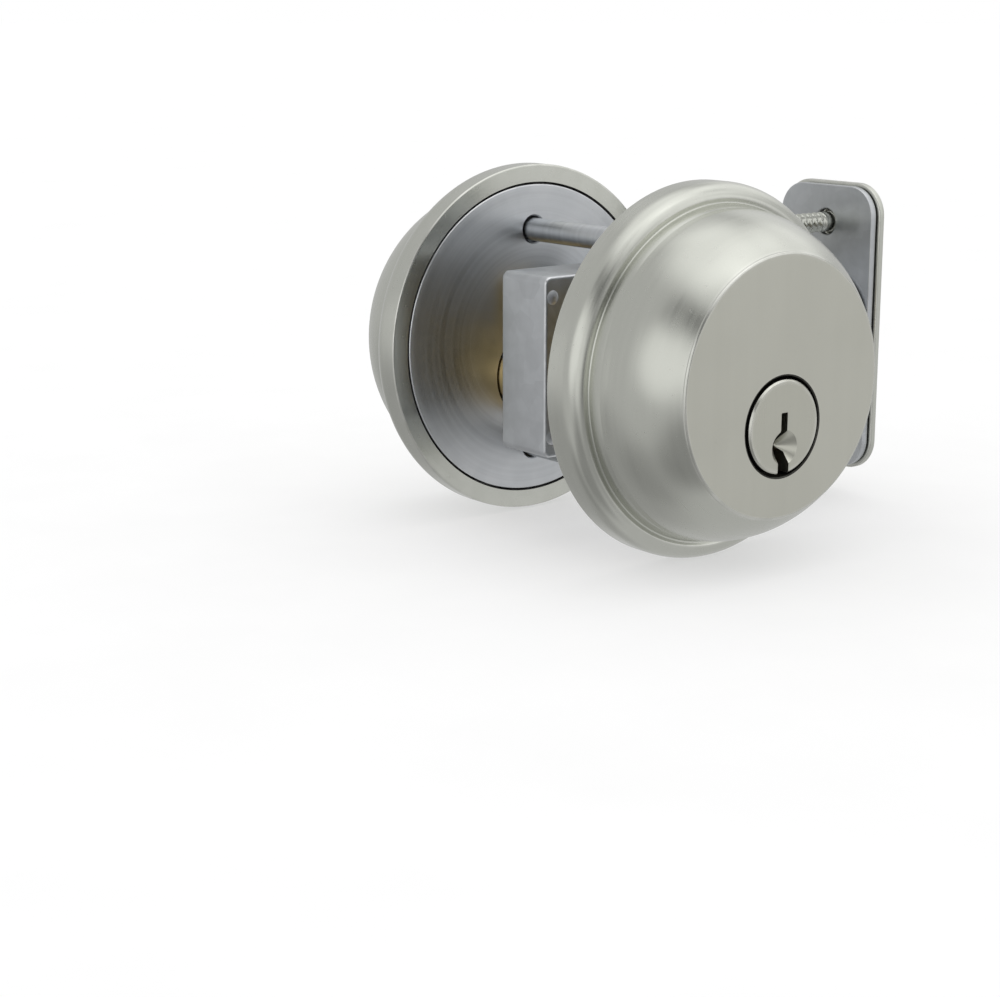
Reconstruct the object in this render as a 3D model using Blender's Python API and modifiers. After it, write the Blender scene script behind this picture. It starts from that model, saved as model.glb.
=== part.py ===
"""Double-cylinder deadbolt door lock, assembled as it sits in a door.

The frame: the origin is the centre of the door's cross bore at the outer door face, +X points to
the door's edge, where the bolt comes out, -Y points out of the door towards the street, and +Z is up.
The door itself isn't modelled: it fills the space between the two roses.

Three kinds of local frame are used, each an empty:
  a cylinder unit  +Z out of the door, +Y up, the door's face at Z = 0
  the latch        +X to the door's edge, +Y up, +Z to the street, the door's middle plane at Z = 0
  the door's edge  +Z out of the edge, +Y up, the edge's face at Z = 0
"""

import math

import bmesh
import bpy
from mathutils import Vector

MM = 0.001
COLLECTION = "deadbolt_door_lock"

# The door that the lock is made for.
DOOR_THICKNESS = 44.5 * MM
BACKSET = 60.0 * MM

# Rose and bell of a cylinder housing.
ROSE_RADIUS = 33.35 * MM
ROSE_SIDE = 3.4 * MM
ROSE_SHOULDER_RADIUS = 30.6 * MM
ROSE_SHOULDER = 6.7 * MM
GROOVE_RADIUS = 29.7 * MM
GROOVE_FLOOR = 6.4 * MM
FOOT_RADIUS = 29.3 * MM
FOOT = 8.3 * MM
FACE_RADIUS = 22.2 * MM
PROJECTION = 22.6 * MM
FACE_ROUNDING = 0.8 * MM
BELL_BULGE = 1.4 * MM
HOUSING_WALL = 2.6 * MM
SEAT_RADIUS = 30.0 * MM
CAVITY_RADIUS = 26.9 * MM

# Plug, which sits below the rose's centre because its pins stand on top of it.
PLUG_DROP = 6.8 * MM
HEAD_RADIUS = 8.2 * MM
HEAD_PROUD = 0.4 * MM
HEAD_CHAMFER = 0.3 * MM
HEAD_HOLE_RADIUS = 8.7 * MM
PLUG_RADIUS = 6.35 * MM
PLUG_END = -6.6 * MM
THREAD_RADIUS = 6.0 * MM
THREAD_END = -9.3 * MM
KEYWAY_END = -4.5 * MM
GAP = 0.3 * MM

# Pins, their chambers and the cylinder body around them.
PIN_COUNT = 5
PIN_PITCH = 3.96 * MM
FIRST_PIN = 6.3 * MM
PIN_RADIUS = 1.4 * MM
CHAMBER_RADIUS = 1.6 * MM
CHAMBER_FLOOR = 0.3 * MM
KEY_PIN_TOP = 6.05 * MM
KEY_PIN_FOOT = 0.6 * MM
KEY_CUT_STEP = 0.6 * MM
KEY_CUTS = (1, 3, 0, 2, 4)
DRIVER_PIN_FOOT = 6.8 * MM
DRIVER_PIN_LENGTH = 4.4 * MM
PIN_TIP = 0.5 * MM
SPRING_TURNS = 3
SPRING_POINTS = 6
SPRING_WIRE = 0.2 * MM
BIBLE_HEIGHT = 18.6 * MM
BARREL_RADIUS = 9.6 * MM
BIBLE_HALF_WIDTH = 5.0 * MM
STEP_IN = 0.9 * MM
COVER_THICKNESS = 0.7 * MM
COVER_HALF_WIDTH = 2.1 * MM

# Lost-motion drive between plug and tailpiece.
LUG_WIDTH = math.radians(60)
LUG_INNER = 2.4 * MM
LUG_OUTER = 5.7 * MM
LUG_LENGTH = 1.7 * MM
PLUG_LUG_ANGLE = math.radians(-90)
ENGAGED_LUG_ANGLE = math.radians(-155)
FREE_LUG_ANGLE = math.radians(90)
DRIVER_THICKNESS = 1.3 * MM
CAP_RADIUS = 8.4 * MM
CAP_WALL = 1.2 * MM
CAP_HOLE_RADIUS = 3.9 * MM
BLADE_WIDTH = 6.0 * MM
BLADE_THICKNESS = 2.0 * MM

# Support plates and the two through bolts that clamp the door.
PLATE_RADIUS = 29.6 * MM
PLATE_THICKNESS = 3.0 * MM
THROUGH_BOLT_HEIGHT = 21.0 * MM
THROUGH_BOLT_RADIUS = 2.2 * MM
THROUGH_BOLT_HEAD_RADIUS = 3.9 * MM
THROUGH_BOLT_HEAD = 2.6 * MM
THROUGH_BOLT_REACH = 12.0 * MM
POST_RADIUS = 4.2 * MM
POST_TOP = 14.5 * MM
SET_SCREW_RADIUS = 1.0 * MM
SET_SCREW_LEVEL = 1.8 * MM

# Latch: case, hub, crank and bolt.
THROW = 25.4 * MM
CRANK_RADIUS = THROW / (2 * math.sin(math.radians(45)))
CRANK_REST = math.radians(45)
CRANK_PIN_RADIUS = 1.8 * MM
CRANK_PIN_LENGTH = 8.8 * MM
CRANK_THICKNESS = 2.4 * MM
HUB_RADIUS = 5.2 * MM
HUB_LENGTH = 14.1 * MM
CASE_WALL = 1.2 * MM
CASE_DEPTH = 12.4 * MM
CASE_HEIGHT = 32.6 * MM
CASE_BACK = -20.5 * MM
CASE_FRONT = 21.0 * MM
TUBE_RADIUS = 12.4 * MM
TUBE_BORE = 11.5 * MM
BOLT_HEIGHT = 18.6 * MM
BOLT_THICKNESS = 12.6 * MM
BOLT_LENGTH = 38.0 * MM
BOLT_ROUNDING = 1.5 * MM
FORK_INNER = 1.6 * MM
FORK_OUTER = 3.8 * MM
FORK_FOOT = 0.5 * MM
FORK_NECK_TOP = 9.0 * MM
FORK_HEAD_TOP = 14.8 * MM
FORK_HEAD_HALF = 4.45 * MM
SLOT_HALF = 2.45 * MM
ARMOUR_RADIUS = 2.2 * MM
ARMOUR_SETBACK = 8.0 * MM
LEAF_SPAN = 34.0 * MM
LEAF_THICKNESS = 0.5 * MM

# Faceplate, backing plate and their wood screws.
FACEPLATE_HEIGHT = 57.2 * MM
FACEPLATE_WIDTH = 25.4 * MM
FACEPLATE_THICKNESS = 1.5 * MM
FACEPLATE_CORNER = 6.35 * MM
BACKING_THICKNESS = 1.4 * MM
BACKING_INSET = 0.6 * MM
FACE_SCREW_HEIGHT = 20.65 * MM
FACE_SCREW_HEAD = 4.0 * MM
FACE_SCREW_SHANK = 2.0 * MM
FACE_SCREW_LENGTH = 19.0 * MM

# How finely round shapes are divided.
LARGE_ROUND = 40
MEDIUM_ROUND = 28
SMALL_ROUND = 12

# Colour, roughness and metallic value of each finish.
SATIN_NICKEL = ((0.42, 0.41, 0.37), 0.34, 1.0)
BRASS = ((0.62, 0.46, 0.20), 0.35, 1.0)
NICKEL_SILVER = ((0.50, 0.49, 0.43), 0.30, 1.0)
SPRING_STEEL = ((0.42, 0.43, 0.45), 0.25, 1.0)
ZINC_PLATE = ((0.48, 0.49, 0.50), 0.40, 1.0)
DIE_CAST_ZINC = ((0.34, 0.34, 0.35), 0.55, 1.0)


def clear_scene():
    """Remove every object, so the script can be run again in an open file."""
    for thing in list(bpy.data.objects):
        bpy.data.objects.remove(thing, do_unlink=True)


def collection(name):
    """Make an empty collection in the scene."""
    group = bpy.data.collections.new(name)
    bpy.context.scene.collection.children.link(group)
    return group


def frame(name, location=(0, 0, 0), rotation=(0, 0, 0), parent=None):
    """Make an empty that carries a local frame."""
    empty = bpy.data.objects.new(name, None)
    empty.empty_display_size = 10 * MM
    empty.location = location
    empty.rotation_euler = rotation
    empty.parent = parent
    bpy.data.collections[COLLECTION].objects.link(empty)
    return empty


def place(name, mesh, parent, location=(0, 0, 0), rotation=(0, 0, 0)):
    """Put a mesh in the parts collection, in its parent's frame."""
    thing = bpy.data.objects.new(name, mesh)
    thing.location = location
    thing.rotation_euler = rotation
    thing.parent = parent
    bpy.data.collections[COLLECTION].objects.link(thing)
    return thing


def finish(thing, look):
    """Give a part a material of its own and shade its round faces smooth."""
    colour, roughness, metallic = look
    material = bpy.data.materials.new(thing.name)
    material.use_nodes = True
    shader = material.node_tree.nodes["Principled BSDF"]
    shader.inputs["Base Color"].default_value = (*colour, 1.0)
    shader.inputs["Roughness"].default_value = roughness
    shader.inputs["Metallic"].default_value = metallic
    thing.data.materials.append(material)
    if thing.type == "MESH":
        thing.data.shade_smooth()
        thing.data.set_sharp_from_angle(angle=math.radians(30))
    return thing


def helper(thing):
    """Move a cutter or a joined shape to the helpers, where it is only drawn as wire."""
    bpy.data.collections[COLLECTION].objects.unlink(thing)
    bpy.data.collections["helpers"].objects.link(thing)
    thing.hide_render = True
    thing.display_type = "WIRE"
    return thing


def combine(thing, other, operation):
    """Add a Boolean modifier that joins or cuts with another shape."""
    modifier = thing.modifiers.new(other.name, "BOOLEAN")
    modifier.operation = operation
    modifier.solver = "EXACT"
    modifier.object = helper(other)


def join(thing, *others):
    """Join other shapes to a part."""
    for other in others:
        combine(thing, other, "UNION")


def cut(thing, *others):
    """Cut other shapes out of a part."""
    for other in others:
        combine(thing, other, "DIFFERENCE")


def mesh_from(name, shape):
    """Turn a bmesh into a mesh."""
    mesh = bpy.data.meshes.new(name)
    shape.to_mesh(mesh)
    shape.free()
    return mesh


def block(name, parent, low, high):
    """Make a box between two corners."""
    low, high = Vector(low), Vector(high)
    shape = bmesh.new()
    bmesh.ops.create_cube(shape, size=1.0)
    bmesh.ops.scale(shape, vec=high - low, verts=shape.verts)
    return place(name, mesh_from(name, shape), parent, (low + high) / 2)


def rods(name, parent, radius, low, high, spots, rotation=(0, 0, 0), end_radius=None, sides=SMALL_ROUND):
    """Make upright cylinders, or cones, from low to high at each of the spots of a plane."""
    shape = bmesh.new()
    for x, y in spots:
        made = bmesh.ops.create_cone(
            shape, cap_ends=True, segments=sides, radius1=radius,
            radius2=radius if end_radius is None else end_radius, depth=high - low)
        bmesh.ops.translate(shape, vec=(x, y, (low + high) / 2), verts=made["verts"])
    return place(name, mesh_from(name, shape), parent, rotation=rotation)


def turned(name, parent, profile, location=(0, 0, 0), sides=MEDIUM_ROUND, rotation=(0, 0, 0), loop=False):
    """Turn a profile of (radius, height) points, listed down its outer side, about Z."""
    mesh = bpy.data.meshes.new(name)
    edges = [(i, i + 1) for i in range(len(profile) - 1)]
    if loop:
        edges.append((len(profile) - 1, 0))
    mesh.from_pydata([(radius, 0, height) for radius, height in profile], edges, [])
    thing = place(name, mesh, parent, location, rotation)
    screw = thing.modifiers.new("turn", "SCREW")
    screw.steps = sides
    screw.render_steps = sides
    screw.use_merge_vertices = True
    screw.merge_threshold = 0.00001
    return thing


def outline(name, parent, points, low, high, location=(0, 0, 0), rotation=(0, 0, 0)):
    """Make a plate from a flat outline, from low to high along Z, as a closed mesh."""
    curve = bpy.data.curves.new(name, "CURVE")
    curve.dimensions = "2D"
    curve.fill_mode = "BOTH"
    curve.extrude = (high - low) / 2
    spline = curve.splines.new("POLY")
    spline.points.add(len(points) - 1)
    spline.use_cyclic_u = True
    for point, (x, y) in zip(spline.points, points):
        point.co = (x, y, 0, 1)
    drawn = place(name + "_outline", curve, parent)
    graph = bpy.context.evaluated_depsgraph_get()
    mesh = bpy.data.meshes.new_from_object(drawn.evaluated_get(graph))
    bpy.data.objects.remove(drawn)
    shape = bmesh.new()
    shape.from_mesh(mesh)
    bmesh.ops.remove_doubles(shape, verts=shape.verts, dist=0.000001)
    bmesh.ops.translate(shape, vec=(0, 0, (low + high) / 2), verts=shape.verts)
    shape.to_mesh(mesh)
    shape.free()
    return place(name, mesh, parent, location, rotation)


def arc(centre, radius, start, end, count):
    """List points along an arc, ends included."""
    steps = (start + (end - start) * i / (count - 1) for i in range(count))
    return [(centre[0] + radius * math.cos(a), centre[1] + radius * math.sin(a)) for a in steps]


def bowed(start, end, bulge, count):
    """List points after start on a line to end that bows outwards by bulge at its middle."""
    run, rise = end[0] - start[0], end[1] - start[1]
    length = math.hypot(run, rise)
    points = []
    for i in range(1, count + 1):
        t = i / count
        out = 4 * bulge * t * (1 - t)
        points.append((start[0] + run * t + rise / length * out, start[1] + rise * t - run / length * out))
    return points


def rounded_rectangle(width, height, radius, count=6):
    """List the outline of a rectangle with round corners."""
    points = []
    for turn, (side_x, side_y) in enumerate(((1, 1), (-1, 1), (-1, -1), (1, -1))):
        centre = (side_x * (width / 2 - radius), side_y * (height / 2 - radius))
        points += arc(centre, radius, math.pi / 2 * turn, math.pi / 2 * (turn + 1), count)
    return points


def sector(inner, outer, middle, width, count=7):
    """List the outline of a piece of a ring."""
    start, end = middle - width / 2, middle + width / 2
    return arc((0, 0), outer, start, end, count) + arc((0, 0), inner, end, start, count)


def keyhole(radius, half_width, top, count=25):
    """List the outline of a disc about the plug's axis with an upright bar that rises from it."""
    side = math.asin(half_width / radius)
    disc = arc((0, -PLUG_DROP), radius, math.pi / 2 + side, math.pi * 2.5 - side, count)
    return disc + [(half_width, top), (-half_width, top)]


def bell_profile():
    """List the outside of a housing, from the face's centre out and down to the door."""
    edge = (FACE_RADIUS, PROJECTION)
    flank_top = (FACE_RADIUS + FACE_ROUNDING, PROJECTION - FACE_ROUNDING)
    middle = (FACE_RADIUS + 0.75 * FACE_ROUNDING, PROJECTION - 0.3 * FACE_ROUNDING)
    flank = bowed((FOOT_RADIUS, FOOT), flank_top, BELL_BULGE, 4)[::-1]
    shoulder = [
        (ROSE_SHOULDER_RADIUS + (ROSE_RADIUS - ROSE_SHOULDER_RADIUS) * math.sin(a),
         ROSE_SIDE + (ROSE_SHOULDER - ROSE_SIDE) * math.cos(a))
        for a in (math.pi / 2 * i / 3 for i in range(4))]
    groove = [(FOOT_RADIUS, FOOT), (GROOVE_RADIUS, GROOVE_FLOOR)]
    return [(0, PROJECTION), edge, middle, *flank, *groove, *shoulder, (ROSE_RADIUS, 0)]


def cavity_profile():
    """List the inside of a housing, from the door up to the middle of its front wall."""
    seat = PLATE_THICKNESS + GAP
    top = (FACE_RADIUS - 1.6 * MM, PROJECTION - HOUSING_WALL)
    return [(SEAT_RADIUS, 0), (SEAT_RADIUS, seat), (CAVITY_RADIUS, seat),
            *bowed((CAVITY_RADIUS, seat), top, BELL_BULGE, 2), (0, top[1])]


def housing(side, unit):
    """Make a die-cast rose with its bell, a front hole for the plug's head and a hollow back."""
    shell = turned(side + "_housing", unit, bell_profile() + cavity_profile(), sides=LARGE_ROUND)
    hole = rods(side + "_head_hole", unit, HEAD_HOLE_RADIUS, 15 * MM, 30 * MM,
                [(0, -PLUG_DROP)], sides=MEDIUM_ROUND)
    cut(shell, hole)
    return finish(shell, SATIN_NICKEL)


def add_bolt_posts(shell, unit):
    """Give the street-side housing the two threaded posts that the through bolts screw into."""
    spots = [(0, THROUGH_BOLT_HEIGHT), (0, -THROUGH_BOLT_HEIGHT)]
    foot = PLATE_THICKNESS + GAP
    join(shell, rods("bolt_posts", unit, POST_RADIUS, foot, POST_TOP, spots))
    cut(shell, rods("post_threads", unit, THROUGH_BOLT_RADIUS + GAP, 0, POST_TOP - 1.5 * MM, spots))


def add_set_screw(shell, unit):
    """Give the room-side housing its set screw, which grips the support plate from below."""
    upright = (math.radians(90), 0, 0)
    spots = [(0, SET_SCREW_LEVEL)]
    hole = rods("set_screw_hole", unit, SET_SCREW_RADIUS + 0.25 * MM, 28 * MM, 36 * MM, spots, upright)
    cut(shell, hole)
    tip = PLATE_RADIUS + GAP
    screw = rods("inside_set_screw", unit, SET_SCREW_RADIUS, tip, ROSE_RADIUS - 0.4 * MM, spots, upright)
    return finish(screw, SPRING_STEEL)


def pin_places():
    """List where the pins stand, measured out of the door."""
    shoulder = PROJECTION - HOUSING_WALL
    return [shoulder - FIRST_PIN - i * PIN_PITCH for i in range(PIN_COUNT)]


def chambers(name, parent, low, high):
    """Make the row of pin chambers as one cutter, upright along Y of the unit."""
    spots = [(0, -level) for level in pin_places()]
    return rods(name, parent, CHAMBER_RADIUS, low, high, spots, (math.radians(-90), 0, 0))


def plug_profile():
    """List the outside of a plug, from its face to its threaded end."""
    face = PROJECTION + HEAD_PROUD
    shoulder = PROJECTION - HOUSING_WALL
    return [(0, face), (HEAD_RADIUS - HEAD_CHAMFER, face), (HEAD_RADIUS, face - HEAD_CHAMFER),
            (HEAD_RADIUS, shoulder), (PLUG_RADIUS, shoulder), (PLUG_RADIUS, PLUG_END),
            (THREAD_RADIUS, PLUG_END), (THREAD_RADIUS, THREAD_END), (0, THREAD_END)]


def keyway_outline():
    """List the keyway: a narrow top, a jog to the left and a wide foot open at the bottom."""
    narrow, jog, wide, top = 0.75 * MM, 2.1 * MM, 1.3 * MM, 2.5 * MM
    foot = -HEAD_RADIUS - 1.0 * MM
    return [(-narrow, top), (narrow, top), (narrow, -0.9 * MM), (-0.6 * MM, -2.6 * MM),
            (-0.6 * MM, -3.0 * MM), (wide, -4.6 * MM), (wide, foot), (-wide, foot),
            (-wide, -4.2 * MM), (-jog, -3.2 * MM), (-jog, -2.3 * MM), (-narrow, -0.6 * MM)]


def plug(side, axis):
    """Make a brass plug with its head, keyway, pin chambers and drive lug."""
    body = turned(side + "_plug", axis, plug_profile())
    face = PROJECTION + HEAD_PROUD
    lug = outline(side + "_plug_lug", axis, sector(LUG_INNER, LUG_OUTER, PLUG_LUG_ANGLE, LUG_WIDTH),
                  THREAD_END - LUG_LENGTH, THREAD_END + 0.8 * MM)
    join(body, lug)
    keyway = outline(side + "_keyway", axis, keyway_outline(), KEYWAY_END, face + 1 * MM)
    lead_in = rods(side + "_lead_in", axis, 0.3 * MM, face - 2.4 * MM, face + 0.3 * MM,
                   [(0.2 * MM, -3.6 * MM)], end_radius=3.3 * MM, sides=18)
    cut(body, keyway, lead_in, chambers(side + "_plug_chambers", axis, CHAMBER_FLOOR, 8 * MM))
    return finish(body, SATIN_NICKEL)


def pin_stack(side, axis, level, number, key_cut):
    """Make one key pin, the driver pin above it and the spring above that."""
    upright = (math.radians(-90), 0, 0)
    foot = KEY_PIN_FOOT + key_cut * KEY_CUT_STEP
    key_profile = [(0, KEY_PIN_TOP), (PIN_RADIUS, KEY_PIN_TOP), (PIN_RADIUS, foot + PIN_TIP * 2),
                   (PIN_TIP, foot), (0, foot)]
    top = DRIVER_PIN_FOOT + DRIVER_PIN_LENGTH
    driver_profile = [(0, top), (PIN_RADIUS - PIN_TIP, top), (PIN_RADIUS, top - PIN_TIP),
                      (PIN_RADIUS, DRIVER_PIN_FOOT), (0, DRIVER_PIN_FOOT)]
    for kind, profile, look in (("key", key_profile, BRASS), ("driver", driver_profile, NICKEL_SILVER)):
        pin = turned(f"{side}_{kind}_pin_{number}", axis, profile, (0, 0, level), SMALL_ROUND, upright)
        finish(pin, look)
    low = top + SPRING_WIRE + 0.1 * MM
    high = BIBLE_HEIGHT - COVER_THICKNESS - GAP - SPRING_WIRE - 0.1 * MM
    spring = coil(f"{side}_pin_spring_{number}", axis, PIN_RADIUS - SPRING_WIRE, low, high)
    spring.location = (0, 0, level)
    spring.rotation_euler = upright
    finish(spring, SPRING_STEEL)


def coil(name, parent, radius, low, high):
    """Make a compression spring along Z."""
    curve = bpy.data.curves.new(name, "CURVE")
    curve.dimensions = "3D"
    curve.bevel_depth = SPRING_WIRE
    curve.bevel_resolution = 2
    curve.use_fill_caps = True
    count = SPRING_TURNS * SPRING_POINTS
    spline = curve.splines.new("POLY")
    spline.points.add(count)
    for i, point in enumerate(spline.points):
        angle = 2 * math.pi * i / SPRING_POINTS
        point.co = (radius * math.cos(angle), radius * math.sin(angle), low + (high - low) * i / count, 1)
    return place(name, curve, parent)


def cylinder_body(side, unit, axis):
    """Make the body round the plug, with the upright bible that holds the driver pins."""
    seat = PLATE_THICKNESS + GAP
    front = PROJECTION - HOUSING_WALL - GAP
    top = BIBLE_HEIGHT - PLUG_DROP
    body = outline(side + "_cylinder_body", unit, keyhole(BARREL_RADIUS, BIBLE_HALF_WIDTH, top), seat, front)
    rear = outline(side + "_body_rear", unit,
                   keyhole(BARREL_RADIUS - STEP_IN, BIBLE_HALF_WIDTH - STEP_IN, top - 0.2 * MM),
                   PLUG_END, seat + 1 * MM)
    join(body, rear)
    bore = rods(side + "_plug_bore", unit, PLUG_RADIUS + GAP, -20 * MM, 30 * MM,
                [(0, -PLUG_DROP)], sides=MEDIUM_ROUND)
    groove_floor = top - COVER_THICKNESS - GAP
    groove_half = COVER_HALF_WIDTH + GAP
    groove = block(side + "_cover_groove", unit, (-groove_half, groove_floor, -20 * MM),
                   (groove_half, top + 2 * MM, 30 * MM))
    cut(body, bore, chambers(side + "_body_chambers", axis, 0, BIBLE_HEIGHT), groove)
    return finish(body, BRASS)


def chamber_cover(side, unit):
    """Make the strip that closes the spring chambers along the top of the bible."""
    top = BIBLE_HEIGHT - PLUG_DROP
    front = PROJECTION - HOUSING_WALL - GAP
    strip = block(side + "_chamber_cover", unit,
                  (-COVER_HALF_WIDTH, top - COVER_THICKNESS, PLUG_END + 0.5 * MM),
                  (COVER_HALF_WIDTH, top, front - 0.5 * MM))
    return finish(strip, BRASS)


def driver_face():
    """Say how deep the driver disc's front face lies."""
    return THREAD_END - LUG_LENGTH - GAP


def plug_cap(side, axis):
    """Make the threaded cap that holds the driver against the plug and the plug in its body."""
    front = PLUG_END - GAP
    inner_end = driver_face() - DRIVER_THICKNESS - GAP
    bore = THREAD_RADIUS + GAP
    loop = [(bore, front), (CAP_RADIUS, front), (CAP_RADIUS, inner_end - CAP_WALL),
            (CAP_HOLE_RADIUS, inner_end - CAP_WALL), (CAP_HOLE_RADIUS, inner_end), (bore, inner_end)]
    return finish(turned(side + "_plug_cap", axis, loop, loop=True, sides=24), BRASS)


def tailpiece(side, axis, lug_angle):
    """Make the driver disc with its lug and the flat blade that turns the hub."""
    face = driver_face()
    disc = rods(side + "_tailpiece", axis, LUG_OUTER, face - DRIVER_THICKNESS, face, [(0, 0)], sides=24)
    lug = outline(side + "_driver_lug", axis, sector(LUG_INNER, LUG_OUTER - 0.2 * MM, lug_angle, LUG_WIDTH),
                  face - 0.6 * MM, THREAD_END - GAP)
    tip = -DOOR_THICKNESS / 2 + GAP
    blade = block(side + "_blade", axis, (-BLADE_THICKNESS / 2, -BLADE_WIDTH / 2, tip),
                  (BLADE_THICKNESS / 2, BLADE_WIDTH / 2, face - 0.6 * MM))
    join(disc, lug, blade)
    return finish(disc, ZINC_PLATE)


def support_plate(side, unit):
    """Make the plate that bears on the door and holds the cylinder body in its housing."""
    plate = rods(side + "_support_plate", unit, PLATE_RADIUS, 0, PLATE_THICKNESS, [(0, 0)], sides=LARGE_ROUND)
    top = BIBLE_HEIGHT - PLUG_DROP
    opening = outline(side + "_body_opening", unit,
                      keyhole(BARREL_RADIUS - STEP_IN + GAP, BIBLE_HALF_WIDTH - STEP_IN + GAP, top + GAP),
                      -2 * MM, PLATE_THICKNESS + 2 * MM)
    spots = [(0, THROUGH_BOLT_HEIGHT), (0, -THROUGH_BOLT_HEIGHT)]
    holes = rods(side + "_plate_holes", unit, THROUGH_BOLT_RADIUS + 0.4 * MM, -2 * MM,
                 PLATE_THICKNESS + 2 * MM, spots)
    cut(plate, opening, holes)
    return finish(plate, ZINC_PLATE)


def cylinder_unit(side, unit, lug_angle):
    """Make one cylinder with all that it holds, and return its housing."""
    axis = frame(side + "_plug_axis", (0, -PLUG_DROP, 0), parent=unit)
    shell = housing(side, unit)
    cylinder_body(side, unit, axis)
    chamber_cover(side, unit)
    support_plate(side, unit)
    plug(side, axis)
    plug_cap(side, axis)
    tailpiece(side, axis, lug_angle)
    for number, (level, key_cut) in enumerate(zip(pin_places(), KEY_CUTS), start=1):
        pin_stack(side, axis, level, number, key_cut)
    return shell


def cross_recess(name, parent, spot, face, width, depth):
    """Make the two bars that cut a cross recess into a screw's head."""
    x, y = spot
    narrow = width / 5
    bars = []
    for label, half_x, half_y in (("a", width / 2, narrow / 2), ("b", narrow / 2, width / 2)):
        bars.append(block(f"{name}_recess_{label}", parent, (x - half_x, y - half_y, face - depth),
                          (x + half_x, y + half_y, face + depth)))
    return bars


def through_bolts(unit):
    """Make the two bolts that run from the room-side plate through the door to the posts."""
    seat = PLATE_THICKNESS + 0.1 * MM
    end = -DOOR_THICKNESS - THROUGH_BOLT_REACH
    bolts = {}
    for label, height in (("upper", THROUGH_BOLT_HEIGHT), ("lower", -THROUGH_BOLT_HEIGHT)):
        name = label + "_through_bolt"
        head = seat + THROUGH_BOLT_HEAD
        rim = THROUGH_BOLT_HEAD_RADIUS
        profile = [(0, head), (rim * 0.7, head), (rim, head - 1.2 * MM), (rim, seat),
                   (THROUGH_BOLT_RADIUS, seat), (THROUGH_BOLT_RADIUS, end + 0.8 * MM),
                   (THROUGH_BOLT_RADIUS - 0.8 * MM, end), (0, end)]
        bolt = turned(name, unit, profile, (0, height, 0), sides=20)
        cut(bolt, *cross_recess(name, unit, (0, height), head, 3.6 * MM, 1.4 * MM))
        bolts[label] = finish(bolt, ZINC_PLATE)
    return bolts


def latch_case(latch):
    """Make the case: a flat box round the hub and a tube that fills the edge bore."""
    half_depth, half_height = CASE_DEPTH / 2, CASE_HEIGHT / 2
    along = (0, math.radians(90), 0)
    case = block("latch_case", latch, (CASE_BACK, -half_height, -half_depth),
                 (CASE_FRONT, half_height, half_depth))
    tube_end = BACKSET - FACEPLATE_THICKNESS - BACKING_THICKNESS - 2 * GAP
    join(case, rods("case_tube", latch, TUBE_RADIUS, CASE_FRONT - 1 * MM, tube_end, [(0, 0)], along,
                    sides=MEDIUM_ROUND))
    hollow = block("case_hollow", latch,
                   (CASE_BACK + CASE_WALL, CASE_WALL - half_height, CASE_WALL - half_depth),
                   (CASE_FRONT - CASE_WALL, half_height - CASE_WALL, half_depth - CASE_WALL))
    bore = rods("tube_bore", latch, TUBE_BORE, CASE_FRONT - 2 * CASE_WALL, tube_end + 5 * MM, [(0, 0)], along,
                sides=MEDIUM_ROUND)
    hub_holes = rods("hub_holes", latch, HUB_RADIUS + GAP, -CASE_DEPTH, CASE_DEPTH, [(0, -PLUG_DROP)], sides=24)
    cut(case, hollow, bore, hub_holes)
    return finish(case, ZINC_PLATE)


def crank_outline():
    """List the crank's outline, from the hub's axis up, round its end and back."""
    half = 3.0 * MM
    end = arc((0, CRANK_RADIUS), half + 0.4 * MM, math.radians(-20), math.radians(200), 10)
    return [(half, 0), *end, (-half, 0)]


def crank_hub(hub_axis):
    """Make the hub that the blades turn, with the crank that throws the bolt."""
    hub = rods("crank_hub", hub_axis, HUB_RADIUS, -HUB_LENGTH / 2, HUB_LENGTH / 2, [(0, 0)], sides=24)
    crank = outline("crank_arm", hub_axis, crank_outline(), -CRANK_THICKNESS / 2, CRANK_THICKNESS / 2,
                    rotation=(0, 0, CRANK_REST))
    join(hub, crank)
    clear = 0.25 * MM
    slot = block("blade_slot", hub_axis, (-BLADE_THICKNESS / 2 - clear, -BLADE_WIDTH / 2 - clear, -HUB_LENGTH),
                 (BLADE_THICKNESS / 2 + clear, BLADE_WIDTH / 2 + clear, HUB_LENGTH))
    hole = rods("crank_pin_hole", hub_axis, CRANK_PIN_RADIUS + 0.2 * MM, -CASE_DEPTH, CASE_DEPTH,
                [crank_pin_place()])
    cut(hub, slot, hole)
    return finish(hub, DIE_CAST_ZINC)


def crank_pin_place():
    """Say where the crank pin stands at rest, from the hub's axis."""
    return (-CRANK_RADIUS * math.sin(CRANK_REST), CRANK_RADIUS * math.cos(CRANK_REST))


def crank_pin(hub_axis):
    """Make the pin that joins the crank to the bolt's fork."""
    pin = rods("crank_pin", hub_axis, CRANK_PIN_RADIUS, -CRANK_PIN_LENGTH / 2, CRANK_PIN_LENGTH / 2,
               [crank_pin_place()])
    return finish(pin, SPRING_STEEL)


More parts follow.
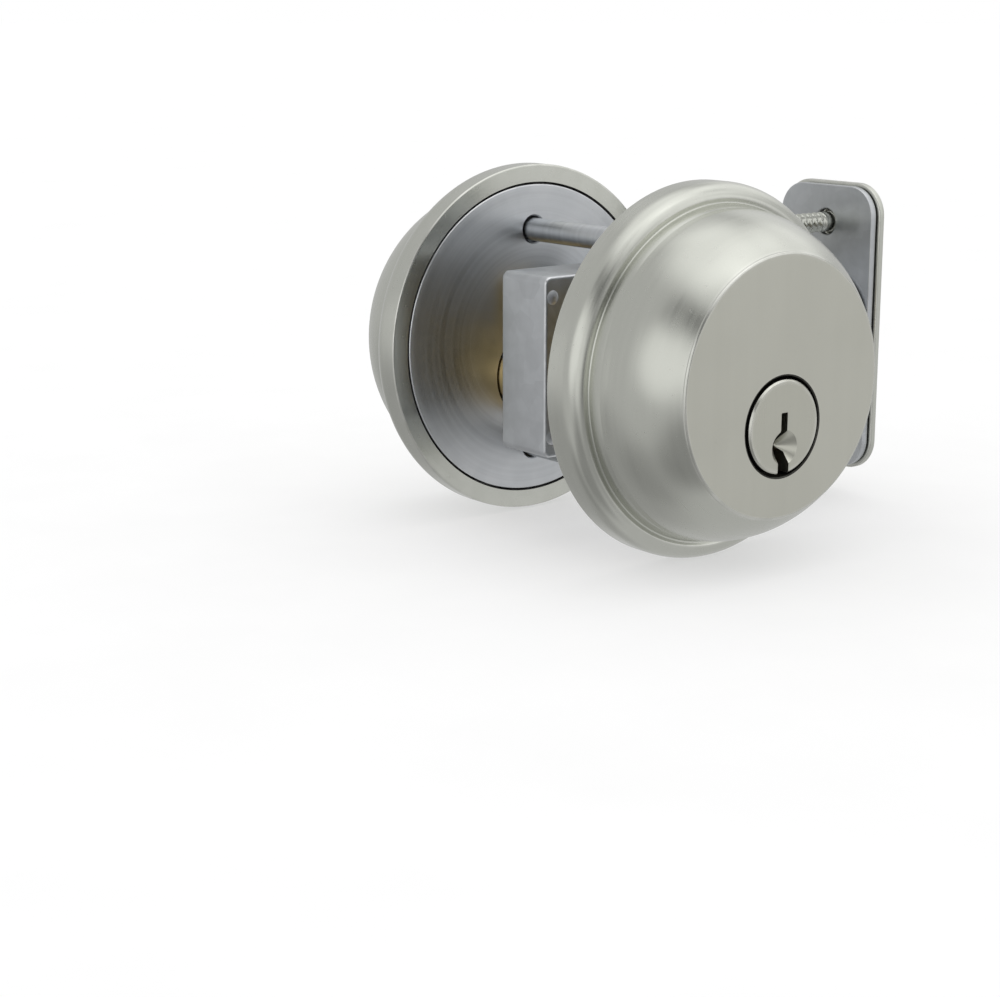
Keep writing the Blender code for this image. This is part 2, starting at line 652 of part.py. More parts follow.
def bolt(latch):
    """Make the dead bolt: a round-edged bar with a forked tail that the crank pin runs in."""
    bar = block("bolt", latch, (BACKSET - BOLT_LENGTH, -BOLT_HEIGHT / 2, -BOLT_THICKNESS / 2),
                (BACKSET, BOLT_HEIGHT / 2, BOLT_THICKNESS / 2))
    rounding = bar.modifiers.new("rounding", "BEVEL")
    rounding.width = BOLT_ROUNDING
    rounding.segments = 3
    pin_x = crank_pin_place()[0]
    head_back, head_front = pin_x - FORK_HEAD_HALF, pin_x + FORK_HEAD_HALF
    root = BACKSET - BOLT_LENGTH + 4 * MM
    tail = [(head_back, FORK_FOOT), (root, FORK_FOOT), (root, FORK_NECK_TOP), (head_front, FORK_NECK_TOP),
            (head_front, FORK_HEAD_TOP), (head_back, FORK_HEAD_TOP)]
    join(bar, outline("fork_street", latch, tail, FORK_INNER, FORK_OUTER),
         outline("fork_room", latch, tail, -FORK_OUTER, -FORK_INNER))
    slot_low = crank_pin_place()[1] - PLUG_DROP - CRANK_PIN_RADIUS - GAP
    slot_high = CRANK_RADIUS - PLUG_DROP + CRANK_PIN_RADIUS + GAP
    slot = block("fork_slot", latch, (pin_x - SLOT_HALF, slot_low, -CASE_DEPTH),
                 (pin_x + SLOT_HALF, slot_high, CASE_DEPTH))
    armour_x = BACKSET - ARMOUR_SETBACK
    hole = rods("armour_hole", latch, ARMOUR_RADIUS + GAP, 2 * GAP - BOLT_HEIGHT / 2 + 2 * MM,
                BOLT_HEIGHT, [(armour_x, 0)], (math.radians(-90), 0, 0))
    cut(bar, slot, hole)
    return finish(bar, SATIN_NICKEL)


def armour_pin(latch):
    """Make the hardened pin that turns inside the bolt against a saw."""
    low = 4 * GAP - BOLT_HEIGHT / 2 + 2 * MM
    pin = rods("bolt_armour_pin", latch, ARMOUR_RADIUS, low, BOLT_HEIGHT / 2 - 0.5 * MM,
               [(BACKSET - ARMOUR_SETBACK, 0)], (math.radians(-90), 0, 0))
    return finish(pin, SPRING_STEEL)


def detent_spring(latch):
    """Make the leaf spring under the hub that holds it at either end of its turn."""
    crest = -PLUG_DROP - HUB_RADIUS - GAP
    foot = CASE_WALL - CASE_HEIGHT / 2 + GAP + LEAF_THICKNESS
    half = LEAF_SPAN / 2
    rise = crest - foot
    upper = [(half * t, foot + rise * (1 - t * t)) for t in (1 - i / 5 for i in range(11))]
    lower = [(x, y - LEAF_THICKNESS) for x, y in reversed(upper)]
    leaf = outline("detent_spring", latch, upper + lower, -3.5 * MM, 3.5 * MM)
    return finish(leaf, SPRING_STEEL)


def edge_plate(name, edge, width, height, low, high, corner, screw_hole):
    """Make a round-cornered plate with the bolt's window and two screw holes."""
    plate = outline(name, edge, rounded_rectangle(width, height, corner), low, high)
    window = outline(name + "_window", edge,
                     rounded_rectangle(BOLT_THICKNESS + 2 * GAP, BOLT_HEIGHT + 2 * GAP, BOLT_ROUNDING, 4),
                     low - 2 * MM, high + 2 * MM)
    spots = [(0, FACE_SCREW_HEIGHT), (0, -FACE_SCREW_HEIGHT)]
    holes = rods(name + "_screw_holes", edge, screw_hole, low - 2 * MM, high + 2 * MM, spots, sides=20)
    cut(plate, window, holes)
    return plate


def faceplate(edge):
    """Make the faceplate, countersunk for its screws."""
    plate = edge_plate("faceplate", edge, FACEPLATE_WIDTH, FACEPLATE_HEIGHT, -FACEPLATE_THICKNESS, 0,
                       FACEPLATE_CORNER, FACE_SCREW_SHANK + GAP)
    spots = [(0, FACE_SCREW_HEIGHT), (0, -FACE_SCREW_HEIGHT)]
    depth = FACE_SCREW_HEAD - FACE_SCREW_SHANK
    sinks = rods("faceplate_sinks", edge, FACE_SCREW_SHANK + GAP - 1 * MM, -depth - 1 * MM, 1 * MM, spots,
                 end_radius=FACE_SCREW_HEAD + GAP + 1 * MM, sides=20)
    cut(plate, sinks)
    return finish(plate, SATIN_NICKEL)


def backing_plate(edge):
    """Make the plate behind the faceplate, which the case's tube is staked to."""
    high = -FACEPLATE_THICKNESS - GAP
    plate = edge_plate("backing_plate", edge, FACEPLATE_WIDTH - 2 * BACKING_INSET,
                       FACEPLATE_HEIGHT - 2 * BACKING_INSET, high - BACKING_THICKNESS, high,
                       FACEPLATE_CORNER - BACKING_INSET, FACE_SCREW_SHANK + 0.6 * MM)
    return finish(plate, ZINC_PLATE)


def face_screws(edge):
    """Make the two countersunk wood screws that hold the latch in the door's edge."""
    depth = FACE_SCREW_HEAD - FACE_SCREW_SHANK
    profile = [(0, 0), (FACE_SCREW_HEAD, 0), (FACE_SCREW_SHANK, -depth),
               (FACE_SCREW_SHANK, 5 * MM - FACE_SCREW_LENGTH), (0, -FACE_SCREW_LENGTH)]
    for label, height in (("upper", FACE_SCREW_HEIGHT), ("lower", -FACE_SCREW_HEIGHT)):
        name = label + "_face_screw"
        screw = turned(name, edge, profile, (0, height, 0), sides=20)
        cut(screw, *cross_recess(name, edge, (0, height), 0, 4.4 * MM, 1.4 * MM))
        finish(screw, SATIN_NICKEL)


def latch_unit(latch):
    """Make the latch with its hub, crank, bolt, springs and plates."""
    hub_axis = frame("hub_axis", (0, -PLUG_DROP, 0), parent=latch)
    edge = frame("door_edge", (BACKSET, DOOR_THICKNESS / 2, 0), (math.radians(90), 0, math.radians(90)))
    latch_case(latch)
    crank_hub(hub_axis)
    crank_pin(hub_axis)
    bolt(latch)
    armour_pin(latch)
    detent_spring(latch)
    faceplate(edge)
    backing_plate(edge)
    face_screws(edge)


def main():
    """Build the lock."""
    clear_scene()
    collection(COLLECTION)
    collection("helpers")
    upright = math.radians(90)
    street = frame("outside_unit", (0, 0, 0), (upright, 0, 0))
    room = frame("inside_unit", (0, DOOR_THICKNESS, 0), (upright, 0, math.radians(180)))
    latch = frame("latch_unit", (0, DOOR_THICKNESS / 2, 0), (upright, 0, 0))
    add_bolt_posts(cylinder_unit("outside", street, ENGAGED_LUG_ANGLE), street)
    add_set_screw(cylinder_unit("inside", room, FREE_LUG_ANGLE), room)
    through_bolts(room)
    latch_unit(latch)


main()
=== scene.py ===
"""Looks of a double-cylinder deadbolt: two satin nickel roses, their cylinders, the latch and plates."""

import logging
import math
from dataclasses import dataclass, field
from enum import Enum, IntEnum

import bpy
import numpy as np
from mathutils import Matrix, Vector


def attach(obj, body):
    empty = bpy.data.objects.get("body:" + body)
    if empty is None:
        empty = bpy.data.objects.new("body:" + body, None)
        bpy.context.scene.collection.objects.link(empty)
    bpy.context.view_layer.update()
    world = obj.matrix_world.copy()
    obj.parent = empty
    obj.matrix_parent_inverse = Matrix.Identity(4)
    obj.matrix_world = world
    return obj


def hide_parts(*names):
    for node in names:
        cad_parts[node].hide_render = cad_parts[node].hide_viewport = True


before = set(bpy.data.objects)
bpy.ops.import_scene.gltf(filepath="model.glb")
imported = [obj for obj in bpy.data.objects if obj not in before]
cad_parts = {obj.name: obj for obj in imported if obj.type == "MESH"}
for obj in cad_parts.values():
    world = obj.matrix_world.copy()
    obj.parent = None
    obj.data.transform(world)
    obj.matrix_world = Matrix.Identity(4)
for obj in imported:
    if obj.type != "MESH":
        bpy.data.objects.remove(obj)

MM = 0.001
DOOR_THICKNESS = 44.5
BACKSET = 60.0
BOLT_THROW = 25.4
HALF_SWING = math.radians(45)
PLUG_DROP = 6.8
GAP = 0.3
SAME_POINT = 1e-5
LAY_SCALE = 0.01
SHARP_FROM = math.radians(31)
LAY_MAP = "lay"
EDGE_MARK = "edge"
MADE = "_finished"
FLOAT = "NodeSocketFloat"
LOG = logging.getLogger("deadbolt")
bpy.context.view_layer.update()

Array = np.ndarray
Corners = Array | list[tuple[float, float]]
Piece = bpy.types.Object
Socket = bpy.types.NodeSocket
Sockets = bpy.types.bpy_prop_collection


class Ends(Enum):
    """How a run of rings is closed."""

    LOOP = "the last ring joins the first"
    CAPPED = "a fan to its middle closes each end"
    FLAT = "one flat face closes each end"


class Lay(Enum):
    """Which way the fine marks of a finish run."""

    TURNED = "round the axis"
    UPRIGHT = "up and down the piece"
    NONE = "no direction"


class Cut(Enum):
    """What a Boolean does with its second shape."""

    TAKE = "DIFFERENCE"
    ADD = "UNION"


class Band(IntEnum):
    """Which of its finishes a strip of a housing's shell takes."""

    TURNED = 0
    FACE = 1
    BACK = 2
    # painted shade: the plug hole's wall and rounded rim, drawn near black for the shadow in the gap
    RECESS = 3


# ---------------------------------------------------------------- flat outlines and profiles


def joined(*parts: Array) -> Array:
    """Chain point lists into one, leaving out points that repeat the one before.

    Args:
        parts: Point lists of one width.

    Returns:
        All points in order.
    """
    run = np.vstack([np.atleast_2d(np.asarray(part, float)) for part in parts])
    keep = np.r_[True, np.linalg.norm(np.diff(run, axis=0), axis=1) > SAME_POINT]
    return run[keep]


def arc(centre: tuple[float, float], radius: float, start: float, end: float, count: int) -> Array:
    """List an arc: centre plus radius times (cosine, sine) of evenly spaced angles in degrees.

    Args:
        centre: Middle of the circle.
        radius: Its radius.
        start: First angle.
        end: Last angle.
        count: How many points.

    Returns:
        Points of the arc, ends included.
    """
    angle = np.radians(np.linspace(start, end, count))
    return np.stack([centre[0] + radius * np.cos(angle), centre[1] + radius * np.sin(angle)], axis=1)


def bowed(start: tuple[float, float], end: tuple[float, float], bulge: float, count: int) -> Array:
    """List a bowed line: the straight line plus bulge times 4t(1 - t) along its right-hand normal.

    Args:
        start: First point.
        end: Last point.
        bulge: Height of the bow at its middle.
        count: How many points.

    Returns:
        Points of the line, ends included.
    """
    first, last = np.array(start, float), np.array(end, float)
    t = np.linspace(0, 1, count)[:, None]
    along = (last - first) / np.linalg.norm(last - first)
    normal = np.array([along[1], -along[0]])
    return first + (last - first) * t + normal * bulge * 4 * t * (1 - t)


def eased(points: Corners, radius: float | list[float], closed: bool = False, steps: int = 5) -> Array:
    """Round the corners of a line: each arm is cut back by the radius and the two cuts are joined by
    (1 - t) squared times one, plus 2t(1 - t) times the corner, plus t squared times the other.

    Args:
        points: Corners of the line.
        radius: How far each corner is cut back, one number or one for each corner.
        closed: Whether the last corner joins the first.
        steps: Points on each rounded corner.

    Returns:
        Points of the rounded line, with a support point on each arm so that flats shade flat.
    """
    corner = np.asarray(points, float)
    radii = np.broadcast_to(np.asarray(radius, float), (len(corner),)).copy()
    before, after = np.roll(corner, 1, axis=0), np.roll(corner, -1, axis=0)
    if not closed:
        before[0], after[-1] = corner[0], corner[-1]
    arm_in, arm_out = before - corner, after - corner
    length_in = np.maximum(np.linalg.norm(arm_in, axis=1), 1e-9)
    length_out = np.maximum(np.linalg.norm(arm_out, axis=1), 1e-9)
    reach = np.minimum(radii, 0.42 * np.minimum(length_in, length_out))
    if not closed:
        reach[0] = reach[-1] = 0
    slack_in = np.where(reach > 0, reach + np.minimum(0.07, 0.05 * length_in), 0)
    slack_out = np.where(reach > 0, reach + np.minimum(0.07, 0.05 * length_out), 0)
    unit_in, unit_out = arm_in / length_in[:, None], arm_out / length_out[:, None]
    first, last = corner + unit_in * reach[:, None], corner + unit_out * reach[:, None]
    t = np.linspace(0, 1, steps)[None, :, None]
    curve = (1 - t) ** 2 * first[:, None] + 2 * t * (1 - t) * corner[:, None] + t**2 * last[:, None]
    lead = (corner + unit_in * slack_in[:, None])[:, None]
    trail = (corner + unit_out * slack_out[:, None])[:, None]
    return joined(np.concatenate([lead, curve, trail], axis=1).reshape(-1, corner.shape[1]))


def rounded_rectangle(width: float, height: float, corner: float, count: int = 9) -> Array:
    """List a rectangle whose corners are quarter circles, counter-clockwise.

    Args:
        width: Full width.
        height: Full height.
        corner: Corner radius.
        count: Points on each corner.

    Returns:
        Points of the outline.
    """
    x, y = width / 2 - corner, height / 2 - corner
    return joined(
        arc((x, y), corner, 0, 90, count),
        arc((-x, y), corner, 90, 180, count),
        arc((-x, -y), corner, 180, 270, count),
        arc((x, -y), corner, 270, 360, count),
    )


def tube_line(inner: float, outer: float, low: float, high: float, rounding: float) -> Array:
    """List the profile of a ring or a rod: out at the low end, up, and back in, with eased corners."""
    return eased([(inner, low), (outer, low), (outer, high), (inner, high)], rounding)


def sector(inner: float, outer: float, middle: float, width: float) -> Array:
    """List the outline of a piece of a ring: the outer arc one way and the inner arc back.

    Args:
        inner: Inner radius.
        outer: Outer radius.
        middle: Angle of its middle, in degrees.
        width: Angle that it spans, in degrees.

    Returns:
        Points of the outline.
    """
    low, high = middle - width / 2, middle + width / 2
    return joined(arc((0, 0), outer, low, high, 16), arc((0, 0), inner, high, low, 10))


def keyhole(radius: float, half_width: float, top: float) -> Array:
    """List a disc about the plug's axis with an upright bar that rises from it.

    Args:
        radius: Radius of the disc.
        half_width: Half the bar's width.
        top: Height of the bar's top.

    Returns:
        Points of the outline, counter-clockwise, the two top corners eased.
    """
    side = math.degrees(math.asin(half_width / radius))
    disc = arc((0, -PLUG_DROP), radius, 90 + side, 450 - side, 73)
    bar = eased([disc[-1], (half_width, top), (-half_width, top), disc[0]], 0.6)
    return joined(disc, bar[1:-1])


# ---------------------------------------------------------------- surfaces


def edge_marks(line: Array) -> Array:
    """Say how much each point of a profile lies on an outer edge: its turn per millimetre, taken on the
    outer side only, and spread a little to both sides.

    Args:
        line: Profile points as (radius, height), taken as a closed loop.

    Returns:
        A number from 0 to 1 for each point.
    """
    before, after = np.roll(line, 1, axis=0) - line, np.roll(line, -1, axis=0) - line
    cross = after[:, 0] * before[:, 1] - after[:, 1] * before[:, 0]
    dot = -(before * after).sum(axis=1)
    reach = (np.linalg.norm(before, axis=1) + np.linalg.norm(after, axis=1)) / 2
    x, y = line[:, 0], line[:, 1]
    hand = np.sign((x * np.roll(y, -1) - np.roll(x, -1) * y).sum())
    sharp = np.clip(hand * np.arctan2(cross, dot) / np.maximum(reach, 0.02) * 0.35, 0, 1)
    return np.maximum.reduce([sharp, 0.6 * np.roll(sharp, 1), 0.6 * np.roll(sharp, -1)])


def closed_shell(
    name: str, rings: Array, lay: Array, marks: Array, ends: Ends, bands: Array | None = None
) -> Piece:
    """Make a closed mesh from rings of points: vertex (i, j) is the j-th point of ring i, and quads join
    neighbouring rings.

    Args:
        name: Name of the piece.
        rings: Points, as rings by points by 3, in metres.
        lay: Map values of each point, as rings by points + 1 by 2.
        marks: Edge mark of each ring.
        ends: How the run of rings is closed.
        bands: Which finish each strip of quads takes.

    Returns:
        The mesh's object, faces outwards.
    """
    count, around = rings.shape[:2]
    strips = count if ends is Ends.LOOP else count - 1
    i, j = np.meshgrid(np.arange(strips), np.arange(around), indexing="ij")
    i2, j2 = (i + 1) % count, (j + 1) % around
    quads = np.stack([i * around + j, i * around + j2, i2 * around + j2, i2 * around + j], axis=-1)
    if ends is Ends.LOOP:
        lay = np.vstack([lay, lay[:1] + [[[lay[-1, 0, 0] * 1.01 + 1e-3, 0]]]])
    quad_lay = np.stack([lay[i, j], lay[i, j + 1], lay[i + 1, j + 1], lay[i + 1, j]], axis=2)
    points = rings.reshape(-1, 3)
    faces, maps = quads.reshape(-1, 4).tolist(), [quad_lay.reshape(-1, 2)]
    each, last = np.arange(around), (count - 1) * around
    following = (each + 1) % around
    if ends is Ends.FLAT:
        faces += [each[::-1].tolist(), (last + each).tolist()]
        maps += [lay[0, each[::-1]], lay[-1, each]]
    elif ends is Ends.CAPPED:
        points = np.vstack([points, rings[0].mean(axis=0), rings[-1].mean(axis=0)])
        low = np.stack([np.full(around, count * around), following, each], axis=1)
        high = np.stack([np.full(around, count * around + 1), last + each, last + following], axis=1)
        faces += low.tolist() + high.tolist()
        for edge, first, second in ((lay[0], each + 1, each), (lay[-1], each, each + 1)):
            middle = np.broadcast_to(edge.mean(axis=0) - [0.01, 0], (around, 2))
            maps.append(np.stack([middle, edge[first], edge[second]], axis=1).reshape(-1, 2))
    mesh = bpy.data.meshes.new(name)
    mesh.from_pydata(points, [], faces)
    sheet = mesh.uv_layers.new(name=LAY_MAP)
    sheet.data.foreach_set("uv", np.vstack(maps).astype(np.float32).ravel())
    spread = np.r_[np.repeat(marks, around), np.zeros(len(points) - count * around)]
    mesh.attributes.new(EDGE_MARK, "FLOAT", "POINT").data.foreach_set("value", spread.astype(np.float32))
    if bands is not None:
        mesh.polygons.foreach_set("material_index", np.repeat(bands, around).astype(np.int32))
    if signed_volume(mesh) < 0:
        mesh.flip_normals()
    mesh.update()
    mesh.validate()
    piece = bpy.data.objects.new(name + MADE, mesh)
    bpy.context.scene.collection.objects.link(piece)
    return piece


def signed_volume(mesh: bpy.types.Mesh) -> float:
    """Sum a . (b x c) over a closed mesh's triangles: six times its volume, below zero if inside out.

    Args:
        mesh: The mesh.

    Returns:
        The sum.
    """
    mesh.calc_loop_triangles()
    place = np.empty(len(mesh.vertices) * 3, np.float32)
    mesh.vertices.foreach_get("co", place)
    corner = np.empty(len(mesh.loop_triangles) * 3, np.int32)
    mesh.loop_triangles.foreach_get("vertices", corner)
    a, b, c = place.astype(float).reshape(-1, 3)[corner].reshape(-1, 3, 3).transpose(1, 0, 2)
    return float(np.einsum("ij,ij->", a, np.cross(b, c)))


@dataclass(frozen=True)
class Seat:
    """Where a sub-assembly's own axes stand in the lock: three rows of a turn, and an origin in mm."""

    turn: tuple[tuple[float, float, float], ...]
    origin: tuple[float, float, float]

    def set_down(self, points: Array) -> Array:
        """Give points of the sub-assembly in the lock's frame, in metres."""
        return (points @ np.array(self.turn, float).T + np.array(self.origin, float)) * MM

    def lift(self, points: Array) -> Array:
        """Give points of the lock's frame back in the sub-assembly's own millimetres."""
        return (points / MM - np.array(self.origin, float)) @ np.array(self.turn, float)


STREET = Seat(((1, 0, 0), (0, 0, -1), (0, 1, 0)), (0, 0, 0))
ROOM = Seat(((-1, 0, 0), (0, 0, 1), (0, 1, 0)), (0, DOOR_THICKNESS, 0))
LATCH = Seat(((1, 0, 0), (0, 0, -1), (0, 1, 0)), (0, DOOR_THICKNESS / 2, 0))
EDGE = Seat(((0, 0, 1), (1, 0, 0), (0, 1, 0)), (BACKSET, DOOR_THICKNESS / 2, 0))


@dataclass(frozen=True)
class Spindle:
    """The axis that a shape is turned about: a point on it and which way it points."""

    centre: tuple[float, float, float] = (0.0, 0.0, 0.0)
    points_to: str = "z"

    def wrap(self, radius: Array, height: Array, angle: Array, drop: Array | float = 0.0) -> Array:
        """Place (radius, height, angle) about the axis: the first cross axis takes radius times cosine,
        the second radius times sine less the drop, and the axis takes the height.

        Args:
            radius: Distance from the axis.
            height: Place along the axis.
            angle: Angle about it.
            drop: How far the circle's own centre lies below the axis.

        Returns:
            Points with a last axis of 3.
        """
        across, beside = radius * np.cos(angle), radius * np.sin(angle) - drop
        height = np.broadcast_to(height, across.shape)
        order = {"z": (across, beside, height), "x": (height, across, beside), "y": (beside, height, across)}
        return np.stack(order[self.points_to], axis=-1) + np.array(self.centre, float)


def above_and_below(height: float) -> list[tuple[str, Spindle]]:
    """Name the two axes that stand one height above and one below the middle."""
    return [("upper", Spindle((0, height, 0))), ("lower", Spindle((0, -height, 0)))]


def turned(
    name: str,
    seat: Seat,
    profile: Corners,
    spindle: Spindle = Spindle(),
    ends: Ends = Ends.CAPPED,
    around: int = 96,
    ripple: Array | None = None,
) -> Piece:
    """Turn a profile: point (i, j) lies at the profile's i-th radius and height, at angle j / around of a
    full turn.
    Args:
        name: Name of the piece.
        seat: The sub-assembly's place.
        profile: Points as (radius, height), in millimetres.
        spindle: The axis.
        ends: How the profile is closed.
        around: Points in a full turn.
        ripple: Something to add to the radius, as profile points by points around.

    Returns:
        The piece.
    """
    profile = np.asarray(profile, float)
    angle = np.linspace(0, 2 * np.pi, around, endpoint=False)[None, :]
    radius = np.broadcast_to(profile[:, :1], (len(profile), around))
    radius = radius if ripple is None else radius + ripple
    rings = spindle.wrap(radius, profile[:, 1:2], np.broadcast_to(angle, radius.shape))
    run = np.r_[0, np.cumsum(np.linalg.norm(np.diff(profile, axis=0), axis=1))]
    share = np.linspace(0, 1, around + 1)
    lay = np.stack(np.broadcast_arrays(run[:, None] * LAY_SCALE, share[None, :]), axis=-1)
    line = profile if ends is Ends.LOOP else joined([(0, profile[0, 1])], profile, [(0, profile[-1, 1])])
    marks = edge_marks(line)
    marks = marks if ends is Ends.LOOP else marks[len(line) - len(profile) - 1 :][: len(profile)]
    return closed_shell(name, seat.set_down(rings), lay, marks, ends)


def plate(
    name: str,
    seat: Seat,
    outline: Corners,
    low: float,
    high: float,
    round_off: float = 0.2,
    spindle: Spindle = Spindle(),
) -> Piece:
    """Thicken an outline: each ring is the outline drawn in by r(1 - sin a) at a height r(1 - cos a) from
    either face, for a from 0 to 90 degrees, so both rims are round.

    Args:
        name: Name of the piece.
        seat: The sub-assembly's place.
        outline: Points, counter-clockwise, in millimetres.
        low: Height of the lower face.
        high: Height of the upper face.
        round_off: Radius of the rims.
        spindle: The direction it is thickened along, and the place of the outline's origin.

    Returns:
        The piece.
    """
    line = np.asarray(outline, float)
    line = line if np.linalg.norm(line[0] - line[-1]) > SAME_POINT else line[:-1]
    ahead, behind = np.roll(line, -1, axis=0) - line, line - np.roll(line, 1, axis=0)
    ahead, behind = (v / np.maximum(np.linalg.norm(v, axis=1), 1e-9)[:, None] for v in (ahead, behind))
    inward_a, inward_b = np.stack([-ahead[:, 1], ahead[:, 0]], 1), np.stack([-behind[:, 1], behind[:, 0]], 1)
    mitre = (inward_a + inward_b) / np.maximum(1 + (inward_a * inward_b).sum(axis=1), 0.35)[:, None]
    a = np.radians(np.linspace(0, 90, 6))
    inset = np.r_[round_off * 1.3 + 0.05, round_off * (1 - np.sin(a))]
    rise = np.r_[0, round_off * (1 - np.cos(a))]
    depth = np.r_[inset, inset[::-1]]
    level = np.r_[low + rise, (high - rise)[::-1]]
    mark = np.r_[0, np.sin(2 * a), np.sin(2 * a)[::-1], 0]
    flat = line[None] + mitre[None] * depth[:, None, None]
    radius, angle = np.linalg.norm(flat, axis=2), np.arctan2(flat[..., 1], flat[..., 0])
    rings = seat.set_down(spindle.wrap(radius, level[:, None], angle))
    lay = np.concatenate([flat, flat[:, :1]], axis=1) * LAY_SCALE
    return closed_shell(name, rings, lay, mark, Ends.FLAT)


def threaded(
    name: str,
    seat: Seat,
    profile: Array,
    thread: tuple[float, float],
    pitch: float,
    depth: float,
    spindle: Spindle,
) -> Piece:
    """Turn a profile with a screw thread: inside the thread's reach the radius loses depth times a
    triangle wave of (height / pitch - angle), faded out at both ends.

    Args:
        name: Name of the piece.
        seat: The sub-assembly's place.
        profile: Points as (radius, height), from the head down, in millimetres.
        thread: Height where the thread starts and where it ends, the start higher.
        pitch: Height of one turn.
        depth: Depth of the thread.
        spindle: The axis.

    Returns:
        The piece.
    """
    around = 36
    start, end = thread
    dense = np.arange(start, end, -pitch / 8)
    heights = profile[:, 1]
    above, below = profile[heights > start + 1e-6], profile[heights < end - 1e-6]
    radii = np.interp(-dense, -heights, profile[:, 0])
    line = np.vstack([above, np.stack([radii, dense], axis=1), below])
    angle = np.linspace(0, 1, around, endpoint=False)[None, :]
    phase = (line[:, 1:2] / pitch - angle) % 1.0
    fade = np.clip((start - line[:, 1:2]) / pitch, 0, 1) * np.clip((line[:, 1:2] - end) / pitch, 0, 1)
    wave = np.clip(np.abs(phase * 2 - 1) * 1.5 - 0.25, 0, 1)
    ripple = -np.minimum(depth, line[:, :1] * 0.35) * wave * fade
    return turned(name, seat, line, spindle, around=around, ripple=ripple)


def coil(
    name: str,
    seat: Seat,
    radius: float,
    wire: float,
    low: float,
    high: float,
    turns: float,
    level: float,
) -> Piece:
    """Wind a wire: its middle follows a circle that rises evenly, with the end turns closer, and each
    ring is a small circle square to it.

    Args:
        name: Name of the piece.
        seat: The sub-assembly's place.
        radius: Radius of the coil.
        wire: Radius of the wire.
        low: Height of the lower end above the plug's axis.
        high: Height of the upper end.
        turns: How many turns.
        level: Depth of the coil's axis along the cylinder.

    Returns:
        The piece.
    """
    t = np.linspace(0, 1, int(turns * 28) + 1)
    angle = 2 * np.pi * turns * t
    rise = low + (high - low) * (t - 0.06 * np.sin(4 * np.pi * t))
    centre = np.stack([radius * np.cos(angle), rise - PLUG_DROP, level + radius * np.sin(angle)], axis=1)
    along = np.gradient(centre, axis=0)
    along /= np.linalg.norm(along, axis=1)[:, None]
    outward = np.stack([np.cos(angle), np.zeros_like(angle), np.sin(angle)], axis=1)
    side = np.cross(along, outward)
    turn = np.linspace(0, 2 * np.pi, 10, endpoint=False)
    rings = centre[:, None] + wire * (
        outward[:, None] * np.cos(turn)[None, :, None] + side[:, None] * np.sin(turn)[None, :, None]
    )
    lay = np.stack(np.broadcast_arrays(t[:, None], np.linspace(0, 1, 11)[None, :]), axis=-1)
    return closed_shell(name, seat.set_down(rings), lay, np.zeros(len(t)), Ends.CAPPED)


def combine(piece: Piece, others: list[Piece], cut: Cut) -> Piece:
    """Apply an exact Boolean of each other shape to the piece, and drop the others.

    Args:
        piece: The piece that is changed.
        others: Closed shapes to add or take away.
        cut: Which of the two.

    Returns:
        The same piece.
    """
    for other in others:
        tool = piece.modifiers.new(other.name, "BOOLEAN")
        tool.operation = cut.value
        tool.solver = "EXACT"
        tool.object = other
    graph = bpy.context.evaluated_depsgraph_get()
    changed = piece.evaluated_get(graph)
    mesh = bpy.data.meshes.new_from_object(changed, preserve_all_data_layers=True, depsgraph=graph)
    piece.modifiers.clear()
    piece.data = mesh
    for other in others:
        bpy.data.objects.remove(other)
    return piece


def paint_gap_shade(
    piece: Piece, seat: Seat, centre: tuple[float, float], inner: float, low: float, high: float
) -> None:
    """Give the second finish, a near-black painted shade, to faces whose middle lies past a radius and
    between two heights.

    Args:
        piece: The piece.
        seat: The sub-assembly's place.
        centre: The axis that the radius is counted from.
        inner: The radius.
        low: Lower height.
        high: Upper height.
    """
    middle = np.empty(len(piece.data.polygons) * 3, np.float32)
    piece.data.polygons.foreach_get("center", middle)
    place = seat.lift(middle.reshape(-1, 3).astype(float))
    far = np.hypot(place[:, 0] - centre[0], place[:, 1] - centre[1]) > inner
    chosen = far & (place[:, 2] > low) & (place[:, 2] < high)
    piece.data.polygons.foreach_set("material_index", chosen.astype(np.int32))


def rods(
    name: str,
    seat: Seat,
    radius: float,
    low: float,
    high: float,
    spindles: list[Spindle],
    flare: float = 0.0,
) -> list[Piece]:
    """Make round cutters, flared by 45 degrees past either end of the stated reach.

    Args:
        name: Name of the cutters.
        seat: The sub-assembly's place.
        radius: Radius of the hole.
        low: Where the plain part starts.
        high: Where it ends.
        spindles: Axis of each cutter.
        flare: Width of the chamfer that it leaves on the rim.

    Returns:
        One cutter for each axis.
    """
    line = [(radius, low + flare), (radius, high - flare)]
    if flare:
        wide = radius + flare
        line = [(wide + 1, low - 1), (wide, low), *line, (wide, high), (wide + 1, high + 1)]
    return [turned(f"{name}_{n}", seat, line, axis, around=48) for n, axis in enumerate(spindles)]


def cross_cutter(
    name: str, seat: Seat, place: tuple[float, float], face: float, width: float, depth: float
) -> Piece:
    """Make the tapered cross that a driver's tip leaves: a plus-shaped outline that shrinks with depth.

    Args:
        name: Name of the cutter.
        seat: The sub-assembly's place.
        place: The screw's axis.
        face: Height of the screw's face.
        width: Width across the cross.
        depth: Depth of the recess.

    Returns:
        The cutter.
    """
    w, n = width / 2, width / 9
    line = np.array([(w, -n), (w, n), (n * 1.5, n * 1.5), (n, w), (-n, w), (-n * 1.5, n * 1.5),
                     (-w, n), (-w, -n), (-n * 1.5, -n * 1.5), (-n, -w), (n, -w), (n * 1.5, -n * 1.5)])
    scale = np.array([1.18, 1.0, 0.42])
    level = np.array([face + 0.6, face, face - depth])
    flat = line[None] * scale[:, None, None] + np.array(place)
    rings = np.concatenate([flat, np.broadcast_to(level[:, None, None], (3, len(line), 1))], axis=2)
    lay = np.concatenate([flat, flat[:, :1]], axis=1) * LAY_SCALE
    return closed_shell(name, seat.set_down(rings), lay, np.zeros(3), Ends.FLAT)


# ---------------------------------------------------------------- finishes


